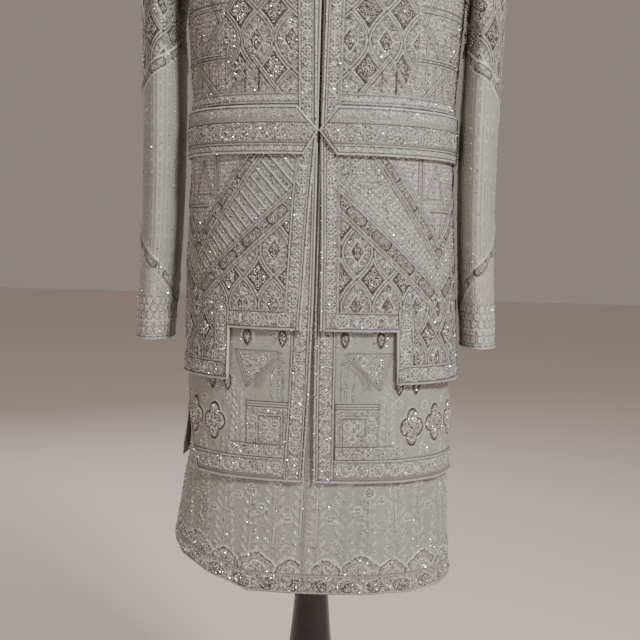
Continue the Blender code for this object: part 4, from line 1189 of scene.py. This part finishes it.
def coat_drawing(flat, side, edge, step):
    """The outer coat's drawing. Edge is a at the front edge or None, step is a at the hem's notch or None."""
    a, v = flat[..., 0], flat[..., 1]
    paint = plain_ground(flat, SILVER, 0.85)
    paint["sparks"] += 0.16
    x = a - edge if edge is not None else a + 1.0
    field = (x > BORDER_WIDTH).astype(float)
    skirt = field * (v < SKIRT_TOP)
    bounced = BOUNCE - np.abs(a - BOUNCE)
    above_low, along_low = beyond_line(bounced, v, BAND_LOW)
    above_high = beyond_line(bounced, v, BAND_HIGH)[0]

    sage = skirt * (above_low > BAND_LOW_HALF) * (above_high < -BAND_HIGH_HALF)
    lay(paint, sage, SAGE, 0.25)
    paint["sparks"] *= 1 - 0.6 * sage
    beaded_mesh(paint, a, v, along_low, above_low, sage, side)

    tower = skirt * (above_high > BAND_HIGH_HALF)
    lay(paint, tower, TOWER_CLOTH, 0.35)
    hatch = within(np.abs(((v - 0.9) % 0.0052) - 0.0026), 0.0007) * within((a % 0.012) - 0.006, 0.0036)
    lay(paint, hatch * tower * 0.8, PEARL, 0.1, 0.0003)
    for start, end in TOWER_LINES:
        cord(paint, to_segment(a, v, start, end)[0], tower, 0.0007)

    net = skirt * (above_low < -BAND_LOW_HALF) * (v > COAT_HEM_FRONT + 0.023) * (a < BOUNCE)
    ogee_net(paint, a, v, (0.0700, 0.9045), 0.0392, 0.0660, net)
    drop_zone = (v > COAT_HEM + 0.0235) * (v < COAT_HEM_FRONT + 0.030) * (x > BORDER_WIDTH)
    if step is not None:
        drop_zone = drop_zone * (a > step + BORDER_WIDTH)
    side_net = np.clip(drop_zone + skirt * (above_low < -BAND_LOW_HALF) * (a >= BOUNCE), 0, 1)
    ogee_net(paint, a, v, (0.1480, 0.8380), 0.0340, 0.0640, side_net)
    medal_band(paint, bounced, v, BAND_HIGH, BAND_HIGH_HALF, 0.0420, (0.0125, 0.0048), skirt)
    medal_band(paint, bounced, v, BAND_LOW, BAND_LOW_HALF, 0.0422, (0.0140, 0.0062),
               skirt * (v > COAT_HEM_FRONT + 0.026))
    chest_drawing(paint, a, v, field * (v >= SKIRT_TOP))
    coat_borders(paint, a, v, x, edge, step)
    return paint


for side, word in ((-1, "left"), (1, "right")):
    starts = front_starts("outer", side, COAT_ROWS)
    grids = panel_grid("outer", "front", side, COAT_ROWS, COAT_COLUMNS, COAT_WALL, starts,
                       np.ones(len(COAT_ROWS)), (STEP_COLUMN, STEP_SHARES[side]))
    flat = grids[2]
    step = flat[STEP_COLUMN: STEP_COLUMN + 1, : STEP_ROW + 1, 0].mean(1)[:, None]
    paint = coat_drawing(flat, side, flat[:1, :, 0], step)
    kept = np.ones(((COAT_COLUMNS - 1) // 8, (len(COAT_ROWS) - 1) // 4), bool)
    kept[: STEP_COLUMN // 8, : STEP_ROW // 4] = False
    paint["sparks"][:STEP_COLUMN, :STEP_ROW] = 0.0
    piece = cloth_shell(f"coat_front_{word}", grids, paint, (8, 4), brocade, kept=kept)
    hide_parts(f"outer_front_{word}")
    scatter_beads(f"coat_beads_{word}", [paint], 6500, 0.00110, 20 + side)
grids = back_grid("outer", COAT_ROWS[::2], 81, COAT_WALL)
paint = coat_drawing(np.abs(grids[2]), 1, None, None)
piece = cloth_shell("coat_back", grids, paint, (8, 4), brocade)
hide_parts("outer_back")
scatter_beads("coat_beads_back", [paint], 1500, 0.00115, 25)

# ---------------------------------------------------------------------------------------------------------
# Stand collar: one stiffened band of the same brocade, sewn round the neckline and open at centre front.
# A piped edge runs round its top, over a row of rosettes.

COLLAR_WALL = 0.0025
COLLAR_HEIGHT = 0.038
COLLAR_LEAN = 0.0025
COLLAR_GAP_TURN = math.radians(5)
COLLAR_COLUMNS = 193
COLLAR_ROWS = 25


def collar_points(turn, up, depth_in):
    """Points over the neckline ellipse, in by the wall's depth and the lean times the height share."""
    side = np.where(turn <= np.pi, 1.0, -1.0)
    folded = np.minimum(turn, 2 * np.pi - turn)
    ease = EASES["outer"]
    x = side * (NECK_HALF_WIDTH + ease * 0.3) * np.sin(folded)
    y = NECK_CENTRE_Y - (NECK_HALF_DEPTH + ease * 0.3) * np.cos(folded)
    z = NECK_FRONT_HEIGHT + (NECK_BACK_HEIGHT - NECK_FRONT_HEIGHT) * (1 - np.cos(folded)) / 2 + ease
    inward = np.stack([-x, NECK_CENTRE_Y - y, 0 * x], -1)
    inward /= np.linalg.norm(inward, axis=-1, keepdims=True)
    points = np.stack([x, y, z + 0.0012], -1)[:, None]
    points = points + inward[:, None] * (depth_in + 0.001 + COLLAR_LEAN * up)
    return points + np.array([0.0, 0.0, COLLAR_HEIGHT]) * up


turns = np.linspace(COLLAR_GAP_TURN, 2 * np.pi - COLLAR_GAP_TURN, COLLAR_COLUMNS)
up = np.linspace(0, 1, COLLAR_ROWS)[None, :, None]
outer, inner = collar_points(turns, up, 0.0), collar_points(turns, up, COLLAR_WALL)
around = arc_lengths(outer[:, 0])
flat = np.stack(np.broadcast_arrays(around[:, None], up[..., 0] * COLLAR_HEIGHT), -1)
paint = plain_ground(flat, SILVER, 0.8)
band_of_flowers(paint, flat[..., 0], flat[..., 1], (0.004, 0.018), (float(around[-1]) - 0.004, 0.018),
                0.0125, 0.024, 0.0080)
collar_edge = np.minimum(np.minimum(flat[..., 0], around[-1] - flat[..., 0]), COLLAR_HEIGHT - flat[..., 1])
piped_edge(paint, collar_edge, 0.0019, 0.0010)
piece = cloth_shell("stand_collar", (outer, inner, flat), paint, (8, 8), brocade)
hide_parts("collar")

# ---------------------------------------------------------------------------------------------------------
# Sleeves: each is a top piece and an under piece joined by a front and a back seam, set into the armhole.
# Nets of jewels cover the head and the upper arm, plain ribbed sage silk the elbow, with a band of medals
# crossing it above the wrist, and rows of curls fill the cuff. They hang empty, flat and a little outward.

SLEEVE_WALL = 0.0020
SLEEVE_SECTIONS = (
    # ring, outer_x, outer_height, inner_x, inner_height, half_depth, wrap
    (0, 0.2080, 1.4290, 0.1885, 1.2890, 0.0600, 0.0120),
    (1, 0.2210, 1.4030, 0.1880, 1.2770, 0.0620, 0.0110),
    (2, 0.2285, 1.3620, 0.1870, 1.2640, 0.0640, 0.0100),
    (3, 0.2315, 1.3100, 0.1860, 1.2480, 0.0660, 0.0090),
    (4, 0.2315, 1.2550, 0.1850, 1.2250, 0.0670, 0.0085),
    (5, 0.2300, 1.1950, 0.1830, 1.1900, 0.0660, 0.0080),
    (6, 0.2290, 1.1300, 0.1810, 1.1300, 0.0640, 0.0070),
    (7, 0.2285, 1.0600, 0.1805, 1.0600, 0.0620, 0.0060),
    (8, 0.2290, 0.9900, 0.1820, 0.9900, 0.0590, 0.0060),
    (9, 0.2310, 0.9200, 0.1850, 0.9200, 0.0560, 0.0050),
    (10, 0.2340, 0.8600, 0.1890, 0.8600, 0.0530, 0.0040),
    (11, 0.2360, 0.8160, 0.1920, 0.8160, 0.0510, 0.0040),
)
SLEEVE_HEAD_LENGTH = 0.004
SLEEVE_HEAD_GAP = 0.0004
SLEEVE_SEAM_TURN = 3 * math.pi / 7
SEAM_GAP_TURN = 0.003
LEFT_SLEEVE_OUT = 0.0095
LEFT_SLEEVE_IN = 0.0060
SWING_TOP = 1.440
SWING_SPAN = 0.190
SLEEVE_ROWS = 321
CUFF_END = 0.816
CUFF_TOP = 0.874
CUFF_LINE = 0.841
CUFF = (0.520, 0.500, 0.465)
SLEEVE_UPPER_LINE = ((0.000, 1.1180), (0.147, 1.2090))
SLEEVE_LOWER_LINE = ((0.000, 0.9750), (0.147, 0.8610))
SLEEVE_BAND_HALF = 0.0070
SLEEVE_BEAD_ROW = 0.290
CURL_PITCH = 0.0124
CURL_RISE = 0.0098


def sleeve_points(side, ring, turn, depth_in):
    """A flattened ellipse on each ring between an outer and an inner point; the first two follow the armhole.

    Turn is 0 along the underarm, pi along the outside, and negative behind."""
    ring, turn = np.broadcast_arrays(ring, turn)
    sections = [smooth_column(SLEEVE_SECTIONS, k, np.clip(ring, 0, 11)) for k in range(1, 7)]
    outer_x, outer_z, inner_x, inner_z, half_depth, wrap = sections
    if side < 0:
        swing = np.clip((SWING_TOP - outer_z) / SWING_SPAN, 0, 1)
        outer_x, inner_x = outer_x + LEFT_SLEEVE_OUT * swing, inner_x + LEFT_SLEEVE_IN * swing
    out_x, out_z = side * (outer_x - inner_x) / 2, (outer_z - inner_z) / 2
    shrink = 1 - depth_in / np.hypot(out_x, out_z)
    x = side * (outer_x + inner_x) / 2 - out_x * shrink * np.cos(turn) - side * wrap * np.sin(turn) ** 2
    z = (outer_z + inner_z) / 2 - out_z * shrink * np.cos(turn)
    body = np.stack([x, -(half_depth - depth_in) * np.sin(turn), z], -1)
    rise = np.abs(turn) / np.pi
    front = armhole_points("outer", "front", side, rise)
    back = armhole_points("outer", "back", side, rise)
    head = np.where((turn >= 0)[..., None], front, back)
    low, high = (armhole_points("outer", "front", side, np.array(end)) for end in (0.0, 1.0))
    inward = (low + high) / 2 - head
    inward[..., 0] = 0
    head = head + inward / np.linalg.norm(inward, axis=-1, keepdims=True) * depth_in
    head[..., 0] += side * (SLEEVE_HEAD_GAP + np.clip(ring + 2, 0, 1) * SLEEVE_HEAD_LENGTH)
    blend = np.clip(ring + 1, 0, 1)[..., None]
    return head * (1 - blend) + body * blend


def sleeve_drawing(a, v, half):
    """Ribbed sage between two medal bands, worked above and below. Arc a starts at the underarm line."""
    paint = plain_ground(a, SILVER, 0.75)
    paint["sparks"] += 0.22
    above_band, along_upper = beyond_line(half - a, v, SLEEVE_UPPER_LINE)
    below_band, along_lower = beyond_line(half - a, v, SLEEVE_LOWER_LINE)
    middle = ((above_band < 0) * (below_band > 0)).astype(float)
    lay(paint, middle, SAGE, 0.10)
    paint["sparks"] *= 1 - 0.85 * middle
    ribs = within(np.abs((a % 0.0064) - 0.0032), 0.0008, 0.0014) * middle
    lay(paint, ribs * 0.6, PEARL, 0.05, 0.0004)
    ball = np.hypot((a % 0.0128) - 0.0064, (v % 0.0160) - 0.0080)
    lay(paint, within(ball, 0.0012) * middle, PEARL, 0.0, 0.0006, 0.8)
    ogee_net(paint, a, v, (0.0860, 1.2080), 0.0400, 0.0680, (above_band >= 0).astype(float))
    lower_arm = within(below_band, -0.004)
    lay(paint, lower_arm, CUFF, 0.20, 0.0, 0.10)
    cuff = within(v, CUFF_TOP) * lower_arm
    rank = np.floor(v / CURL_RISE)
    curl = np.hypot((a + rank**2 * 0.0047) % CURL_PITCH - CURL_PITCH / 2, v - (rank + 0.5) * CURL_RISE)
    # Painted shade in a ring outside each curl.
    lay(paint, within(np.abs(curl - 0.0046), 0.0012) * cuff * 0.6, PAINTED_SHADE, 0.1)
    lay(paint, within(np.abs(curl - 0.0030), 0.0011) * cuff, PEARL, 0.1, 0.0007)
    for off, along in ((above_band, along_upper), (below_band, along_lower)):
        strip = within(np.abs(off), SLEEVE_BAND_HALF)
        lay(paint, strip, SILVER, 0.45, 0.0002, 0.15)
        near = (along + 0.011) % 0.040 - 0.020
        medal(paint, near, off, (0.0, 0.0), 0.0125, 0.0046, 0.0, SAGE, inside=strip)
        lay(paint, within(np.abs(np.abs(off) - SLEEVE_BAND_HALF), 0.0011), PEARL, 0.1, 0.0008, 0.2)
    ball = np.hypot(a - half * SLEEVE_BEAD_ROW, (v % 0.0052) - 0.0026)
    # Painted shade round each bead of the row.
    lay(paint, within(ball, 0.0022) * middle, PAINTED_SHADE, 0.0)
    lay(paint, within(ball, 0.0016) * middle, PEARL, 0.0, 0.0008, 0.6)
    lay(paint, within(np.abs(v - CUFF_LINE), 0.0013), PEARL, 0.1, 0.0008)
    piped_edge(paint, v - CUFF_END, 0.0019, 0.0009)
    return paint


sleeve_paints = []
ring = np.concatenate([np.linspace(-2, 0, 25)[:-1], np.linspace(0, 11, SLEEVE_ROWS - 24)])
half_turn = np.linspace(0, math.pi, 90)
for side, word in ((-1, "left"), (1, "right")):
    full = sleeve_points(side, ring[None], half_turn[:, None], 0.0)
    arc = arc_lengths(full)
    half = float(np.median(arc[-1]))
    fall = arc_lengths((full[0] + full[-1]) / 2)
    for part, low_turn, high_turn, columns, wide in (
        ("top", SLEEVE_SEAM_TURN, 2 * math.pi - SLEEVE_SEAM_TURN, 89, 0.166),
        ("under", -SLEEVE_SEAM_TURN, SLEEVE_SEAM_TURN, 49, 0.128),
    ):
        turn = np.linspace(low_turn + SEAM_GAP_TURN, high_turn - SEAM_GAP_TURN, columns)
        turn = np.where(turn > math.pi, turn - 2 * math.pi, turn)[:, None]
        outer = sleeve_points(side, ring[None], turn, 0.0)
        inner = sleeve_points(side, ring[None], turn, SLEEVE_WALL)
        a = np.stack([np.interp(np.abs(turn[:, 0]), half_turn, arc[:, j]) for j in range(len(ring))], 1)
        a = a / arc[-1] * half
        v_up = np.broadcast_to(CUFF_END + fall[-1] - fall, a.shape)
        behind = 2 * half - a if part == "top" else -a
        grids = (outer, inner, np.stack([np.where(turn < 0, behind, a), v_up], -1))
        paint = sleeve_drawing(a, v_up, half)
        piece = cloth_shell(f"sleeve_{part}_piece_{word}", grids, paint, (4, 8), brocade)
        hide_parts(f"sleeve_{part}_{word}")
        sleeve_paints.append(paint)
scatter_beads("sleeve_beads", sleeve_paints, 5000, 0.00110, 31)

# ---------------------------------------------------------------------------------------------------------
# Belt: stiffened braid over the waist, a pointed half from each side seam and a back. The points meet at
# centre front. Each half has corded borders and a beaded strip of small flowers between.

BELT_WALL = 0.0025
BELT_MIDDLE = 1.081
BELT_HALF_HEIGHT = 0.0285
BELT_ROWS = 41
BELT_ENDS = {
    # side: (bottom_x, point_x, top_x)
    -1: (-0.0170, -0.0003, -0.0268),
    1: (0.0226, 0.0003, 0.0222),
}
BELT_STRIP_HALF = 0.0125
BELT_STRIP_LIFT = -0.0025
BRAID = (0.49, 0.475, 0.455)


def belt_drawing(flat, side, pointed):
    """Piping on the belt's own outline, and level corded lines that hold a beaded strip between them."""
    a, v = flat[..., 0], flat[..., 1]
    paint = plain_ground(flat, BRAID, 0.40)
    paint["sparks"] += 0.03
    edge = BELT_HALF_HEIGHT - np.abs(v - BELT_MIDDLE)
    if pointed:
        bottom_x, point_x, top_x = (side * x for x in BELT_ENDS[side])
        point = (point_x, BELT_MIDDLE)
        for end in ((bottom_x, BELT_MIDDLE - BELT_HALF_HEIGHT), (top_x, BELT_MIDDLE + BELT_HALF_HEIGHT)):
            slant = np.abs(beyond_line(a, v, (point, end))[0])
            same_half = np.sign(v - BELT_MIDDLE) == np.sign(end[1] - BELT_MIDDLE)
            edge = np.minimum(edge, np.where(same_half, slant, 1.0))
    y = v - BELT_MIDDLE - BELT_STRIP_LIFT
    strip = within(np.abs(y), BELT_STRIP_HALF) * (edge > 0.0035)
    lay(paint, strip, SILVER, 0.5, 0.0002, 0.3)
    flower(paint, (a % 0.0250) - 0.0125, y, (0.0, 0.0), 0.0080, 6, inside=strip * 0.7)
    leaf = np.abs(((a + 0.0125) % 0.0250) - 0.0125) / 0.0030 + np.abs(v - BELT_MIDDLE) / 0.0120
    lay(paint, within(leaf, 1.0, 0.3) * strip * 0.7, CORD, 0.3, 0.0005, 0.5)
    for way in (BELT_STRIP_HALF, BELT_STRIP_HALF + 0.0022):
        cord(paint, np.abs(np.abs(y) - way), (edge > 0.0020).astype(float), 0.0007)
    scroll = np.abs(np.abs(v - BELT_MIDDLE) - 0.0215 - 0.0022 * np.sin(2 * np.pi * a / 0.0120))
    lay(paint, within(scroll, 0.0009) * 0.5, CORD, 0.4, 0.0005, 0.10)
    piped_edge(paint, edge, 0.0020, 0.0008)
    paint["height"] += 0.0007 * np.clip(edge / 0.004, 0, 1)
    return paint


belt_paints = []
belt_heights = BELT_MIDDLE + BELT_HALF_HEIGHT * np.linspace(-1, 1, BELT_ROWS)
belt_level = np.abs(np.linspace(-1, 1, BELT_ROWS))
for side, word in ((-1, "left"), (1, "right")):
    bottom_x, point_x, top_x = BELT_ENDS[side]
    corner_x = np.where(belt_heights > BELT_MIDDLE, top_x, bottom_x)
    starts = edge_share("belt", side, point_x + (corner_x - point_x) * belt_level, belt_heights)
    grids = panel_grid("belt", "front", side, belt_heights, 161, BELT_WALL, starts, np.ones(BELT_ROWS))
    paint = belt_drawing(grids[2], side, True)
    piece = cloth_shell(f"belt_half_{word}", grids, paint, (8, 4), brocade)
    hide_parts(f"belt_front_{word}")
    belt_paints.append(paint)
grids = back_grid("belt", belt_heights[::2], 81, BELT_WALL)
paint = belt_drawing(np.abs(grids[2]), 1, False)
piece = cloth_shell("belt_back_piece", grids, paint, (8, 4), brocade)
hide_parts("belt_back")
scatter_beads("belt_beads", belt_paints, 2000, 0.00100, 41)

# ---------------------------------------------------------------------------------------------------------
# Floor, light and camera: a plain pale floor, three soft studio lights, and a view from the front.

FLOOR_HALF = 14.0
PALE = (0.88, 0.80, 0.755, 1.0)
CAMERA_AWAY = 1.21
CAMERA_HEIGHT = 0.951
CAMERA_YAW = math.radians(2.5)
CAMERA_DOWN = math.radians(5.08)
CAMERA_ROLL = math.radians(1.47)
CAMERA_SIDEWAYS = math.radians(0.10)
LENS = 50.6


def pale_floor():
    """Matt pale paint with a slow, faint mottle."""
    material, tree, shader = new_material("pale_floor_paint", 0.85)
    place = add_node(tree, "ShaderNodeTexCoord").outputs["Object"]
    mottle = add_node(tree, "ShaderNodeTexNoise", {"Vector": place, "Scale": 2.0, "Detail": 3.0})
    low = tuple(0.97 * c for c in PALE[:3]) + (1.0,)
    tree.links.new(mix_colour(tree, mottle.outputs["Fac"], low, PALE), shader.inputs["Base Color"])
    return material


corners = np.array([(-1, -1, 0), (1, -1, 0), (1, 1, 0), (-1, 1, 0)]) * FLOOR_HALF
floor_mesh = build_mesh("floor", corners, [np.array([[0, 1, 2, 3]])])
floor_mesh.materials.append(pale_floor())
floor = bpy.data.objects.new("floor", floor_mesh)
bpy.context.scene.collection.objects.link(floor)


def soft_light(name, place, aim, size, power, colour):
    """A rectangular area light at a place, turned towards its aim."""
    light = bpy.data.lights.new(name, "AREA")
    light.shape = "RECTANGLE"
    light.size, light.size_y = size
    light.energy = power
    light.color = colour
    holder = bpy.data.objects.new(name, light)
    holder.location = place
    holder.rotation_mode = "QUATERNION"
    holder.rotation_quaternion = (Vector(aim) - Vector(place)).to_track_quat("-Z", "Y")
    bpy.context.scene.collection.objects.link(holder)


soft_light("key_light", (1.50, -1.85, 2.8), (0.0, 0.0, 0.95), (0.5, 0.5), 96.0, (1.0, 0.98, 0.955))
soft_light("fill_light", (-2.2, -2.4, 1.8), (0.0, 0.0, 0.9), (1.6, 1.6), 6.0, (0.97, 0.98, 1.0))
soft_light("back_light", (-1.2, 2.4, 2.4), (0.0, 0.0, 1.0), (1.6, 1.6), 34.0, (1.0, 0.99, 0.97))
world = bpy.data.worlds.new("studio")
world.use_nodes = True
world.node_tree.nodes["Background"].inputs["Color"].default_value = (0.70, 0.590, 0.535, 1.0)
world.node_tree.nodes["Background"].inputs["Strength"].default_value = 0.40
bpy.context.scene.world = world

lens = bpy.data.cameras.new("camera")
lens.lens = LENS
lens.sensor_width = 36.0
lens.clip_start = 0.05
camera = bpy.data.objects.new("camera", lens)
aim_turn = CAMERA_YAW - CAMERA_SIDEWAYS
ahead = np.array([-math.sin(aim_turn), math.cos(aim_turn), 0.0])
across = np.array([math.cos(aim_turn), math.sin(aim_turn), 0.0])
above = np.array([0.0, 0.0, 1.0])
forward = math.cos(CAMERA_DOWN) * ahead - math.sin(CAMERA_DOWN) * above
upward = math.cos(CAMERA_DOWN) * above + math.sin(CAMERA_DOWN) * ahead
camera_x = math.cos(CAMERA_ROLL) * across + math.sin(CAMERA_ROLL) * upward
camera_y = math.cos(CAMERA_ROLL) * upward - math.sin(CAMERA_ROLL) * across
stand_at = (CAMERA_AWAY * math.sin(CAMERA_YAW), -CAMERA_AWAY * math.cos(CAMERA_YAW), CAMERA_HEIGHT)
turned = Matrix((camera_x, camera_y, -forward)).transposed()
camera.matrix_world = Matrix.Translation(stand_at) @ turned.to_4x4()
bpy.context.scene.collection.objects.link(camera)
bpy.context.scene.camera = camera
